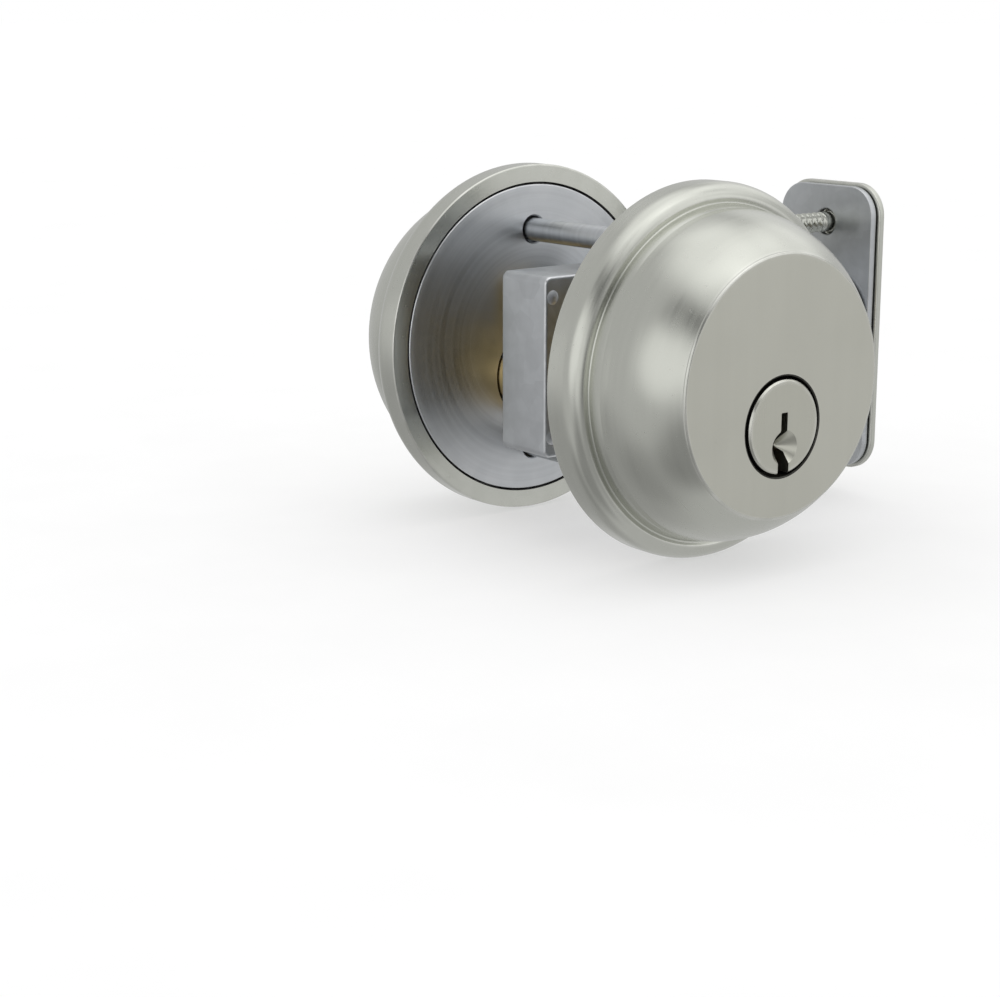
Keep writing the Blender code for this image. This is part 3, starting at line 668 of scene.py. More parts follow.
class NodeSheet:
    """A short way to lay out shader nodes in one tree."""

    def __init__(self, tree: bpy.types.NodeTree) -> None:
        """Keep the tree that nodes are added to."""
        self.tree = tree

    def add(
        self, kind: str, sockets: dict[str | int, object] | None = None, **settings: object
    ) -> bpy.types.Node:
        """Add a node.

        Args:
            kind: Blender's name for the node.
            sockets: For each input, a value or another node's output.
            settings: Properties of the node.

        Returns:
            The node.
        """
        node = self.tree.nodes.new(kind)
        for name, value in settings.items():
            setattr(node, name, value)
        for key, value in (sockets or {}).items():
            self.feed(node.inputs[key], value)
        return node

    def feed(self, socket: bpy.types.NodeSocket, value: object) -> None:
        """Set an input to a value, or link it to an output."""
        if isinstance(value, bpy.types.NodeSocket):
            self.tree.links.new(value, socket)
        else:
            socket.default_value = value

    def math(self, operation: str, *values: object, clamp: bool = False) -> Socket:
        """Work out one number from others and return its output."""
        node = self.add("ShaderNodeMath", dict(enumerate(values)), operation=operation, use_clamp=clamp)
        return node.outputs[0]

    def times(self, one: object, other: object) -> Socket:
        """Multiply two numbers and return the product's output."""
        return self.math("MULTIPLY", one, other)

    def plus(self, one: object, other: object) -> Socket:
        """Add two numbers and return the sum's output."""
        return self.math("ADD", one, other)

    def vectors(self, operation: str, one: object, other: object) -> Socket:
        """Work out one vector from two and return its output."""
        return self.add("ShaderNodeVectorMath", {0: one, 1: other}, operation=operation).outputs[0]

    def noise(self, place: object, scale: object, detail: float, **more: float) -> Socket:
        """Add noise that is read at a place and return its output."""
        sockets = {"Vector": place, "Scale": scale, "Detail": detail, **more}
        return self.add("ShaderNodeTexNoise", sockets).outputs[0]

    def between(self, value: object, low: float, high: float, to_low: float, to_high: float) -> Socket:
        """Carry a number smoothly from one range to another and return its output."""
        sockets = {"Value": value, "From Min": low, "From Max": high, "To Min": to_low, "To Max": to_high}
        return self.add("ShaderNodeMapRange", sockets, interpolation_type="SMOOTHSTEP").outputs[0]

    def mix(self, share: object, one: object, other: object) -> Socket:
        """Blend two colours and return the blend's output."""
        node = self.add("ShaderNodeMix", {0: share, 6: one, 7: other}, data_type="RGBA")
        return node.outputs[2]


def empty_sheet(owner: bpy.types.Material | bpy.types.World) -> NodeSheet:
    """Turn on the nodes of a material or a world, with none laid out yet.

    Args:
        owner: The material or world.

    Returns:
        A sheet for its nodes.
    """
    owner.use_nodes = True
    owner.node_tree.nodes.clear()
    return NodeSheet(owner.node_tree)


def rgba(colour: tuple[float, float, float], level: float = 1.0) -> tuple[float, ...]:
    """Give a colour scaled by a level, with an alpha of one."""
    return (*(part * level for part in colour), 1.0)


@dataclass(frozen=True)
class EffectGroup:
    """A shared effect: a shader node group that reads a place and some numbers, built once."""

    name: str
    outputs: tuple[str, ...]
    inputs: tuple[tuple[str, float], ...] = ()

    def tree(self) -> bpy.types.NodeTree:
        """Give the group's tree, and lay it out the first time."""
        found = bpy.data.node_groups.get(self.name)
        if found:
            return found
        tree = bpy.data.node_groups.new(self.name, "ShaderNodeTree")
        tree.interface.new_socket("Place", in_out="INPUT", socket_type="NodeSocketVector")
        for label, value in self.inputs:
            socket = tree.interface.new_socket(label, in_out="INPUT", socket_type=FLOAT)
            socket.default_value = value
        for label in self.outputs:
            tree.interface.new_socket(label, in_out="OUTPUT", socket_type=FLOAT)
        sheet = NodeSheet(tree)
        given = sheet.add("NodeGroupInput").outputs
        sheet.add("NodeGroupOutput", self.lay_out(sheet, given))
        return tree

    def lay_out(self, sheet: NodeSheet, given: Sockets) -> dict[str, Socket]:
        """Lay out the effect's own nodes; each kind of effect has its own."""
        raise NotImplementedError

    def place(self, sheet: NodeSheet, sockets: dict[str, object]) -> Sockets:
        """Put the group into a material and return its outputs."""
        node = sheet.add("ShaderNodeGroup", node_tree=self.tree())
        for key, value in sockets.items():
            sheet.feed(node.inputs[key], value)
        return node.outputs


class ToolMarks(EffectGroup):
    """Fine lines: noise that is stretched along the lay and squeezed across it, at two pitches."""

    def lay_out(self, sheet: NodeSheet, given: Sockets) -> dict[str, Socket]:
        """Scale the place for each pitch, and add fine and broad noise."""
        fine, broad = (
            sheet.noise(sheet.vectors("MULTIPLY", given["Place"], (pitch,) * 3), 1.0, detail, Roughness=0.6)
            for pitch, detail in ((1.0, 3.0), (0.17, 2.0))
        )
        height = sheet.plus(sheet.times(fine, 0.65), sheet.times(broad, 0.35))
        return {"Height": height, "Shade": sheet.between(broad, 0.3, 0.7, 0.0, 1.0)}


class EdgeWear(EffectGroup):
    """Rubbed edges: the edge mark, broken up by noise."""

    def lay_out(self, sheet: NodeSheet, given: Sockets) -> dict[str, Socket]:
        """Multiply the mark by a noise mask."""
        broken = sheet.between(sheet.noise(given["Place"], given["Scale"], 4.0), 0.38, 0.62, 0.35, 1.0)
        return {"Mask": sheet.math("MULTIPLY", given["Edge"], broken, clamp=True)}


class HandFilm(EffectGroup):
    """A faint film from handling: broad soft patches, with a few small flecks."""

    def lay_out(self, sheet: NodeSheet, given: Sockets) -> dict[str, Socket]:
        """Take broad noise for the film and the tips of fine noise for flecks."""
        broad = sheet.noise(given["Place"], 55.0, 3.0, Distortion=0.6)
        fine = sheet.noise(given["Place"], 1400.0, 1.0)
        return {"Film": sheet.between(broad, 0.35, 0.7, 0.0, 1.0),
                "Flecks": sheet.between(fine, 0.7, 0.78, 0.0, 1.0)}


class CastSkin(EffectGroup):
    """The skin of cast or plated metal: small cells that differ in tone, over a fine grain."""

    def lay_out(self, sheet: NodeSheet, given: Sockets) -> dict[str, Socket]:
        """Take a cell pattern for the tone and fine noise for the grain."""
        cells = sheet.add("ShaderNodeTexVoronoi", {"Vector": given["Place"], "Scale": given["Scale"]})
        tone = sheet.add("ShaderNodeSeparateColor", {0: cells.outputs["Color"]})
        grain = sheet.noise(given["Place"], sheet.times(given["Scale"], 4.0), 3.0)
        return {"Tone": tone.outputs[0], "Height": grain}


TOOL_MARKS = ToolMarks("tool_marks", ("Height", "Shade"))
EDGE_WEAR = EdgeWear("edge_wear", ("Mask",), (("Edge", 0.0), ("Scale", 300.0)))
HAND_FILM = HandFilm("hand_film", ("Film", "Flecks"))
CAST_SKIN = CastSkin("cast_skin", ("Tone", "Height"), (("Scale", 900.0),))


@dataclass(frozen=True)
class Finish:
    """A metal finish: its colours, how rough it is and what marks it carries."""

    name: str
    slot: str
    colour: tuple[float, float, float]
    worn: tuple[float, float, float]
    roughness: float
    spread: float = 0.06
    lay: Lay = Lay.TURNED
    directed: float = 0.0
    marks_per_mm: float = 6.0
    marks_per_metre_along: float = 45.0
    marks_height: float = 0.004
    shade: float = 0.06
    cell_scale: float = 0.0

    def marks_place(self, sheet: NodeSheet) -> Socket:
        """Give the place that the tool marks read: slow along the lay and quick across it.

        Args:
            sheet: The material's nodes.

        Returns:
            The place's output.
        """
        where = sheet.add("ShaderNodeTexCoord").outputs["Object"]
        quick, slow = self.marks_per_mm / MM, self.marks_per_metre_along
        scales = {Lay.UPRIGHT: (quick, quick, slow), Lay.TURNED: (slow,) * 3, Lay.NONE: (quick,) * 3}
        place = sheet.vectors("MULTIPLY", where, scales[self.lay])
        if self.lay is not Lay.TURNED:
            return place
        run = sheet.add("ShaderNodeSeparateXYZ", {0: sheet.add("ShaderNodeUVMap", uv_map=LAY_MAP).outputs[0]})
        across = sheet.times(run.outputs[0], self.marks_per_mm / LAY_SCALE)
        return sheet.vectors("ADD", place, sheet.add("ShaderNodeCombineXYZ", {1: across}).outputs[0])

    def material(self) -> bpy.types.Material:
        """Give the finish's material, and lay it out the first time.

        Returns:
            The material.
        """
        found = bpy.data.materials.get(self.name)
        if found:
            return found
        made = bpy.data.materials.new(self.name)
        sheet = empty_sheet(made)
        place = sheet.add("ShaderNodeTexCoord").outputs["Object"]
        marks = TOOL_MARKS.place(sheet, {"Place": self.marks_place(sheet)})
        edge = sheet.add("ShaderNodeAttribute", attribute_name=EDGE_MARK).outputs["Fac"]
        wear = EDGE_WEAR.place(sheet, {"Place": place, "Edge": edge})["Mask"]
        film = HAND_FILM.place(sheet, {"Place": place})
        colour = sheet.mix(marks["Shade"], rgba(self.colour, 1 - 2 * self.shade), rgba(self.colour))
        height = marks["Height"]
        if self.cell_scale:
            skin = CAST_SKIN.place(sheet, {"Place": place, "Scale": self.cell_scale})
            colour = sheet.mix(sheet.times(skin["Tone"], 0.35), colour, rgba(self.colour, 0.72))
            height = sheet.plus(height, skin["Height"])
        colour = sheet.mix(sheet.times(film["Film"], 0.06), colour, rgba(self.colour, 0.8))
        colour = sheet.mix(sheet.times(wear, 0.7), colour, rgba(self.worn))
        rough = sheet.plus(self.roughness - self.spread / 2, sheet.times(marks["Shade"], self.spread))
        rough = sheet.plus(rough, sheet.times(film["Film"], self.spread * 0.6))
        rough = sheet.plus(rough, sheet.times(film["Flecks"], 0.08))
        rough = sheet.math("SUBTRACT", rough, sheet.times(wear, self.roughness * 0.25), clamp=True)
        bump = sheet.add("ShaderNodeBump", {
            "Height": height, "Strength": 1.0, "Distance": self.marks_height * MM})
        shader = sheet.add("ShaderNodeBsdfPrincipled", {
            "Base Color": colour, "Roughness": rough, "Metallic": 1.0, "Normal": bump.outputs[0],
            "Anisotropic": self.directed})
        if self.directed:
            tangent = sheet.add("ShaderNodeTangent", direction_type="UV_MAP", uv_map=LAY_MAP)
            sheet.feed(shader.inputs["Tangent"], tangent.outputs[0])
        sheet.add("ShaderNodeOutputMaterial", {"Surface": shader.outputs[0]})
        return made


NICKEL = (0.59, 0.60, 0.55)
NICKEL_WORN = (0.74, 0.74, 0.70)
ZINC = (0.60, 0.62, 0.64)
ZINC_WORN = (0.74, 0.75, 0.76)
SATIN_TURNED = Finish("satin_nickel_turned", "satin_nickel", NICKEL, NICKEL_WORN, 0.22, directed=0.4,
                      marks_height=0.0007, shade=0.012)
# The face's colour is a touch warmer than the turned nickel: partly the nickel's own colour, partly a painted
# reflection of the warm surroundings that the flat face mirrors.
SATIN_FACE = Finish("satin_nickel_face", "satin_nickel", (0.60, 0.60, 0.535), NICKEL_WORN, 0.33,
                    lay=Lay.UPRIGHT, directed=0.3, marks_per_mm=5.0, marks_height=0.00025, shade=0.006)
SATIN_PLAIN = Finish("satin_nickel_plain", "satin_nickel", NICKEL, NICKEL_WORN, 0.31,
                     lay=Lay.UPRIGHT, marks_per_mm=5.0, marks_height=0.001, shade=0.02)
SATIN_PLUG = Finish("satin_nickel_plug", "satin_nickel", (0.55, 0.55, 0.485), NICKEL_WORN, 0.30,
                    lay=Lay.UPRIGHT, marks_height=0.0006, shade=0.015)
# Painted shade: a near-black finish put on the walls deep in the gaps round the plug, standing in for the
# shadow there, not a real finish of the metal.
PAINTED_SHADE_FINISH = Finish("darkened_recess", "satin_nickel", (0.035, 0.034, 0.030), (0.10, 0.10, 0.09), 0.6,
                     lay=Lay.NONE, marks_per_mm=2.0, marks_height=0.002)
CAST_BACK = Finish("raw_casting", "satin_nickel", (0.40, 0.40, 0.40), (0.5, 0.5, 0.5), 0.55,
                   lay=Lay.NONE, marks_per_mm=2.0, marks_height=0.02, cell_scale=500.0)
BRASS = Finish("turned_brass", "brass", (0.80, 0.60, 0.28), (0.92, 0.76, 0.44), 0.28,
               directed=0.4, shade=0.1)
NICKEL_SILVER = Finish("nickel_silver", "nickel_silver", (0.66, 0.64, 0.55), (0.78, 0.77, 0.70), 0.25,
                       directed=0.3)
SPRING_STEEL = Finish("spring_steel", "spring_steel", (0.50, 0.51, 0.53), (0.66, 0.67, 0.69), 0.24,
                      lay=Lay.NONE, marks_per_mm=3.0, marks_height=0.002)
ZINC_PLATE = Finish("clear_zinc_plate", "zinc_plate", ZINC, ZINC_WORN, 0.36,
                    lay=Lay.NONE, marks_per_mm=1.5, marks_height=0.006, cell_scale=260.0)
ZINC_TURNED = Finish("zinc_plate_turned", "zinc_plate", ZINC, ZINC_WORN, 0.32, directed=0.3)
CAST_ZINC = Finish("die_cast_zinc", "die_cast_zinc", (0.44, 0.44, 0.45), (0.60, 0.60, 0.61), 0.5,
                   lay=Lay.NONE, marks_per_mm=2.0, marks_height=0.02, cell_scale=700.0)


def dress(piece: Piece, body: str, *finishes: Finish, node: str = "") -> Piece:
    """Finish a piece: smooth it where faces turn by less than about 30 degrees, give it its finishes, hang
    it on its body and put it in the place of its CAD nodes.

    Args:
        piece: The piece.
        body: The moving body that it rides on.
        finishes: One finish for each band of the piece.
        node: The CAD node that it stands for, if not the one of its own name.

    Returns:
        The same piece.
    """
    bands = np.zeros(len(piece.data.polygons), np.int32)
    if len(finishes) > 1:
        piece.data.polygons.foreach_get("material_index", bands)
    piece.data.materials.clear()
    for finish in finishes:
        piece.data.materials.append(finish.material())
    piece.data.polygons.foreach_set("material_index", bands)
    piece.data.shade_smooth()
    piece.data.set_sharp_from_angle(angle=SHARP_FROM)
    piece.data.update()
    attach(piece, body)
    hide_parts(node or piece.name.removesuffix(MADE))
    LOG.info("%s: %d faces on %s", piece.name, len(piece.data.polygons), body)
    return piece


# ---------------------------------------------------------------- cylinder units


@dataclass
class Housing:
    """A die-cast rose: a flanged bell with a flat face, an off-centre plug hole and a hollow back."""

    side: str
    seat: Seat
    posts: bool
    rim_radius: float = 33.35
    side_height: float = 3.4
    shoulder: tuple[float, float] = (30.6, 6.7)
    groove: tuple[float, float] = (29.7, 6.4)
    foot: tuple[float, float] = (29.3, 8.3)
    face_radius: float = 22.5
    projection: float = 22.6
    face_rounding: float = 0.45
    bulge: float = 1.4
    wall: float = 2.6
    seat_radius: float = 30.0
    seat_depth: float = 3.3
    cavity_radius: float = 26.9
    hole_radius: float = 8.7
    post_height: float = 21.0
    post_radius: float = 4.2
    post_top: float = 14.5

    def outside_line(self) -> Array:
        """List the outside from the door up to the face's edge, as (radius, height)."""
        flank_top = (self.face_radius + self.face_rounding, self.projection - self.face_rounding)
        a = np.radians(np.linspace(90, 0, 15))
        shoulder = np.stack([self.shoulder[0] + (self.rim_radius - self.shoulder[0]) * np.sin(a),
                             self.side_height + (self.shoulder[1] - self.side_height) * np.cos(a)], axis=1)
        rim = eased([(self.seat_radius, 0), (self.rim_radius, 0), (self.rim_radius, self.side_height)], 0.3)
        foot_end = (self.foot[0] - 0.4, self.foot[1] + 1.0)
        lip = eased([shoulder[-2], self.shoulder, self.groove, self.foot, foot_end], [0, 0.45, 0.4, 0.6, 0])
        flank = bowed(self.foot, flank_top, self.bulge, 34)[4:]
        edge = arc((self.face_radius, self.projection - self.face_rounding), self.face_rounding, 0, 90, 9)
        return joined(rim, shoulder[:-1], lip[2:-1], flank, edge[1:])

    def rings(self) -> tuple[Array, Array, Array]:
        """List every ring of the shell: outside, face, hole, inner face and cavity. A ring is a circle of
        some radius at some height whose centre is dropped by up to the plug's drop; the two faces are
        ruled from the round edge to the dropped hole.

        Returns:
            The rings as (radius, height, drop), which finish each strip takes, and the edge marks.
        """
        outside = self.outside_line()
        inner = self.projection - self.wall
        top = self.face_radius - 1.9
        share = np.r_[0.006, np.linspace(0.03, 0.985, 22)]
        ruled = self.face_radius + (self.hole_radius + 0.3 - self.face_radius) * share
        face = np.stack([ruled, np.full(len(share), self.projection), share * PLUG_DROP], axis=1)
        hole = eased([(self.hole_radius + 1.0, self.projection), (self.hole_radius, self.projection),
                      (self.hole_radius, inner), (self.hole_radius + 1.0, inner)], 0.28)[1:-1]
        back = np.linspace(0.06, 0.95, 8)
        inner_face = np.stack([self.hole_radius + (top - self.hole_radius) * back, np.full(8, inner),
                               PLUG_DROP * (1 - back)], axis=1)
        cavity = bowed((top, inner), (self.cavity_radius, self.seat_depth), -self.bulge, 14)
        step = eased([cavity[-1], (self.seat_radius, self.seat_depth), (self.seat_radius, 0)], 0.2)
        hollow = joined(cavity[:-1], step[:-1])
        parts = {"outside": np.c_[outside, np.zeros(len(outside))], "face": face,
                 "hole": np.c_[hole, np.full(len(hole), PLUG_DROP)], "inner_face": inner_face,
                 "hollow": np.c_[hollow, np.zeros(len(hollow))]}
        # The plug hole's strip takes the painted shade: its wall and rounded rim are drawn near black for the
        # shadow in the gap.
        finish = (Band.TURNED, Band.FACE, Band.RECESS, Band.BACK, Band.BACK)
        bands = np.concatenate([np.full(len(part), band) for part, band in zip(parts.values(), finish)])
        bands[[len(outside) - 1, len(outside) + len(face) - 1]] = Band.FACE
        line = np.vstack(list(parts.values()))
        return line, bands, edge_marks(line[:, :2])

    def shell(self, around: int = 192) -> Piece:
        """Build the shell: ring point j stands at angle j / around of a turn about its ring's own centre.

        Args:
            around: Points in a ring.

        Returns:
            The shell, with its faces mapped straight where the lay runs up and down.
        """
        line, bands, marks = self.rings()
        angle = np.linspace(0, 2 * np.pi, around, endpoint=False)[None, :]
        radius, height, drop = (line[:, k : k + 1] for k in range(3))
        points = Spindle().wrap(radius + 0 * angle, height, angle + 0 * radius, drop)
        run = np.r_[0, np.cumsum(np.linalg.norm(np.diff(line, axis=0), axis=1))]
        share = np.linspace(0, 1, around + 1)
        lay = np.stack(np.broadcast_arrays(run[:, None] * LAY_SCALE, share[None, :]), axis=-1).copy()
        flat = np.flatnonzero(bands == Band.FACE)
        flat = np.r_[flat, flat[-1] + 1]
        wrapped = np.concatenate([points[flat], points[flat, :1]], axis=1)
        lay[flat] = wrapped[..., :2] * LAY_SCALE
        return closed_shell(self.side + "_housing", self.seat.set_down(points), lay, marks, Ends.LOOP, bands)

    def bolt_posts(self) -> list[Piece]:
        """Build the two threaded posts that the through bolts screw into."""
        made = []
        bore, bore_end = 2.5, 13.0
        for label, axis in above_and_below(self.post_height):
            line = eased([(bore, bore_end), (bore, self.seat_depth), (self.post_radius, self.seat_depth),
                          (self.post_radius, self.post_top)], 0.25)
            post = turned(f"{self.side}_{label}_bolt_post", self.seat, line, axis, around=64)
            made.append(dress(post, "body", CAST_BACK, node=self.side + "_housing"))
        return made

    def build(self) -> None:
        """Build and dress the housing, with its posts or its set screw."""
        shell = self.shell()
        if self.posts:
            self.bolt_posts()
        else:
            axis = Spindle((0, 0, 1.8), "y")
            combine(shell, rods("set_screw_hole", self.seat, 1.25, -36, -28, [axis]), Cut.TAKE)
            line = joined(eased([(0.35, -29.9), (1.0, -30.4), (1.0, -32.95)], 0.15), [(0.85, -32.95)])
            screw = turned("inside_set_screw", self.seat, line, axis, around=40)
            socket = plate("socket", self.seat, arc((0, 0), 0.55, 0, 300, 6), -34, -31.7, 0.01, axis)
            combine(screw, [socket], Cut.TAKE)
            dress(screw, "body", SPRING_STEEL)
        dress(shell, "body", SATIN_TURNED, SATIN_FACE, CAST_BACK, PAINTED_SHADE_FINISH)


@dataclass
class Cylinder:
    """One pin-tumbler cylinder: plug, pins, body, cap, cover, driver blade and support plate."""

    side: str
    seat: Seat
    driver_lug: float
    face: float = 23.0
    head_radius: float = 8.2
    head_chamfer: float = 0.3
    shoulder: float = 20.0
    plug_radius: float = 6.35
    plug_end: float = -6.6
    thread_radius: float = 6.0
    thread_end: float = -9.3
    lug: tuple[float, float, float] = (2.4, 5.7, 60.0)
    lug_length: float = 1.7
    body_radius: float = 9.6
    body_half: float = 5.0
    body_top: float = 11.8
    bore_radius: float = 6.65
    step_in: float = 0.9
    cover_half: float = 2.1
    cover_depth: float = 0.7
    cap_radius: float = 8.4
    cap_wall: float = 1.2
    cap_hole: float = 3.9
    scallops: int = 40
    disc_depth: float = 1.3
    disc_bore: float = 3.0
    blade: tuple[float, float] = (2.0, 6.0)
    plate_radius: float = 29.6
    plate_bore: float = 14.0
    plate_depth: float = 3.0
    bolt_height: float = 21.0
    bolt_hole: float = 2.6
    chamber_radius: float = 1.6
    pin_radius: float = 1.4
    levels: tuple[float, ...] = (13.7, 9.74, 5.78, 1.82, -2.14)
    cuts: tuple[int, ...] = (1, 3, 0, 2, 4)
    axis: Spindle = field(default_factory=lambda: Spindle((0, -PLUG_DROP, 0)))

    def keyway(self) -> Array:
        """List the keyway: a narrow top, a jog to one side and a wide foot open at the bottom."""
        n, j, w = 0.75, 2.1, 1.3
        line = [(-n, 2.5), (-n, -0.6), (-j, -2.3), (-j, -3.2), (-w, -4.2), (-w, -9.2), (w, -9.2),
                (w, -4.6), (-0.6, -3.0), (-0.6, -2.6), (n, -0.9), (n, 2.5)]
        return eased(line, 0.18, closed=True, steps=4)

    def chambers(self, name: str, low: float, high: float) -> list[Piece]:
        """Make the cutters of the pin chambers, from one height above the plug's axis to another."""
        return rods(name, self.seat, self.chamber_radius, low, high, [self.upright(y) for y in self.levels])

    def upright(self, level: float) -> Spindle:
        """Give the axis of the pin chamber at a level, from the plug's own axis upwards."""
        return Spindle((0, -PLUG_DROP, level), "y")

    def plug(self) -> None:
        """Build the plug: a turned head and barrel, with the keyway, its lead-in and the chambers cut out."""
        face, end, chamfer = self.face, self.thread_end, self.head_chamfer
        run = np.linspace(self.plug_end - 0.3, end + 0.3, 37)
        groove, pitch = 0.12, 0.7
        wave = self.thread_radius - groove * (1 - np.cos(2 * np.pi * (run - end) / pitch))
        head = eased([(7.2, face), (self.head_radius - chamfer, face), (self.head_radius, face - chamfer),
                      (self.head_radius, self.shoulder), (self.plug_radius, self.shoulder),
                      (self.plug_radius, self.plug_end), (self.thread_radius, self.plug_end)],
                     [0, 0.06, 0.12, 0.2, 0.1, 0.2, 0])
        grooves = np.stack([wave, run], axis=1)
        rings = joined([(3.6, face)], [(5.6, face)], head, grooves, [(self.thread_radius - 0.3, end)])
        plug = turned(self.side + "_plug", self.seat, rings, self.axis, around=128)
        inner, outer, width = self.lug
        lug = plate("lug", self.seat, sector(inner, outer, -90, width), end - self.lug_length, end + 0.8,
                    0.15, self.axis)
        combine(plug, [lug], Cut.ADD)
        keyway = plate("keyway", self.seat, self.keyway(), -4.5, face + 1, 0.02, self.axis)
        sink = [(0.3, face - 2.4), (3.0, face), (3.6, face + 0.5)]
        lead_in = turned("lead_in", self.seat, sink, Spindle((0.2, -PLUG_DROP - 3.6, 0)), around=56)
        combine(plug, [keyway, lead_in, *self.chambers("chamber", 0.3, 8)], Cut.TAKE)
        # Painted shade: the head's side wall, below its chamfer, is drawn near black for the shadow in the
        # gap round the head.
        rim, below = self.head_radius - 0.1, face - chamfer - 0.02
        paint_gap_shade(plug, self.seat, (0, -PLUG_DROP), rim, self.shoulder, below)
        dress(plug, self.side + "_plug", SATIN_PLUG, PAINTED_SHADE_FINISH)

    def pins(self) -> None:
        """Build the five key pins, driver pins and springs."""
        stem = self.pin_radius
        for number, (level, cut) in enumerate(zip(self.levels, self.cuts), start=1):
            foot = 0.6 + cut * 0.6
            axis = self.upright(level)
            key = eased([(0.3, foot), (0.5, foot), (stem, foot + 1.0), (stem, 6.05), (0.9, 6.05)], 0.15)
            driver = eased([(0.9, 6.8), (stem, 6.8), (stem, 10.7), (0.9, 11.2), (0.6, 11.2)], 0.15)
            key_pin = turned(f"{self.side}_key_pin_{number}", self.seat, key, axis, around=28)
            dress(key_pin, self.side + "_plug", BRASS)
            driver_pin = turned(f"{self.side}_driver_pin_{number}", self.seat, driver, axis, around=28)
            dress(driver_pin, "body", NICKEL_SILVER)
            spring = coil(f"{self.side}_pin_spring_{number}", self.seat, 1.2, 0.19, 11.45, 17.3, 5, level)
            dress(spring, "body", SPRING_STEEL)

    def body(self) -> None:
        """Build the cylinder body: a barrel with an upright bible, a slimmer rear, bore and chambers."""
        front = self.shoulder - GAP
        outer = keyhole(self.body_radius, self.body_half, self.body_top)
        rear = keyhole(self.body_radius - self.step_in, self.body_half - self.step_in, self.body_top - 0.2)
        made = plate(self.side + "_cylinder_body", self.seat, outer, self.plate_depth + GAP, front, 0.25)
        combine(made, [plate("rear", self.seat, rear, self.plug_end, self.plate_depth + 1.5, 0.2)], Cut.ADD)
        bore = rods("bore", self.seat, self.bore_radius, self.plug_end, front, [self.axis], flare=0.25)
        half = self.cover_half + GAP
        slot = [(-half, 10.8), (half, 10.8), (half, 13.0), (-half, 13.0)]
        groove = plate("groove", self.seat, slot, -20, 30, 0.02)
        combine(made, [*bore, *self.chambers("well", 0, 18.6), groove], Cut.TAKE)
        # Painted shadow: the body's front face, at the bottom of the gap round the plug, is drawn near black.
        paint_gap_shade(made, self.seat, (0, -PLUG_DROP), 0, front - 0.3, front + 0.1)
        dress(made, "body", BRASS, PAINTED_SHADE_FINISH)
        low, high, half = self.body_top - self.cover_depth, self.body_top, self.cover_half
        strip = eased([(-half, low), (half, low), (half, high), (-half, high)], 0.12, closed=True, steps=4)
        cover = plate(self.side + "_chamber_cover", self.seat, strip, self.plug_end + 0.5, front - 0.5, 0.1)
        dress(cover, "body", BRASS)

    def cap(self) -> None:
        """Build the plug's cap: a turned cup whose grip carries fine scallops all round."""
        front = self.plug_end - GAP
        floor = self.thread_end - self.lug_length - 2 * GAP - self.disc_depth
        bore = self.thread_radius + GAP
        line = eased([(bore, front), (self.cap_radius, front), (self.cap_radius, floor - self.cap_wall),
                      (self.cap_hole, floor - self.cap_wall), (self.cap_hole, floor), (bore, floor)],
                     [0.2, 0.45, 0.35, 0.2, 0.15, 0.2], closed=True)
        halfway = line + (np.roll(line, -1, axis=0) - line) * 0.5
        line = np.stack([line, halfway], axis=1).reshape(-1, 2)
        angle = np.linspace(0, 2 * np.pi, 360, endpoint=False)[None, :]
        radius, height = line[:, :1], line[:, 1:2]
        on_grip = (radius > self.cap_radius - 0.05) & (height < front - 0.8) & (height > floor - 0.5)
        ripple = -0.14 * (0.5 - 0.5 * np.cos(self.scallops * angle)) ** 2 * on_grip
        made = turned(self.side + "_plug_cap", self.seat, line, self.axis, Ends.LOOP, 360, ripple)
        dress(made, self.side + "_plug", BRASS)

    def tailpiece(self) -> None:
        """Build the driver disc with its lug and the flat blade that turns the hub."""
        face = self.thread_end - self.lug_length - GAP
        inner, outer, width = self.lug
        line = tube_line(self.disc_bore, outer, face - self.disc_depth, face, 0.2)
        disc = turned(self.side + "_tailpiece", self.seat, line, self.axis, around=96)
        lug = plate("driver_lug", self.seat, sector(inner, outer - 0.2, self.driver_lug, width), face - 0.6,
                    self.thread_end - GAP, 0.12, self.axis)
        flat = rounded_rectangle(*self.blade, 0.3, 5)
        blade = plate("blade", self.seat, flat, -DOOR_THICKNESS / 2 + GAP, face - 0.6, 0.3, self.axis)
        combine(disc, [lug, blade], Cut.ADD)
        dress(disc, "hub", ZINC_PLATE)

    def support_plate(self) -> None:
        """Build the steel plate that bears on the door, with the body's opening and the bolt holes."""
        line = tube_line(self.plate_bore, self.plate_radius, 0, self.plate_depth, 0.3)
        made = turned(self.side + "_support_plate", self.seat, line, around=160)
        grow = GAP - self.step_in
        window = keyhole(self.body_radius + grow, self.body_half + grow, self.body_top + GAP)
        opening = plate("opening", self.seat, window, -2, self.plate_depth + 2, 0.02)
        spots = [axis for _, axis in above_and_below(self.bolt_height)]
        holes = rods("plate_hole", self.seat, self.bolt_hole, 0, self.plate_depth, spots, flare=0.25)
        combine(made, [opening, *holes], Cut.TAKE)
        dress(made, "body", ZINC_TURNED)

    def build(self) -> None:
        """Build everything in the cylinder, from the front back."""
        for make in (self.plug, self.pins, self.body, self.cap, self.tailpiece, self.support_plate):
            make()


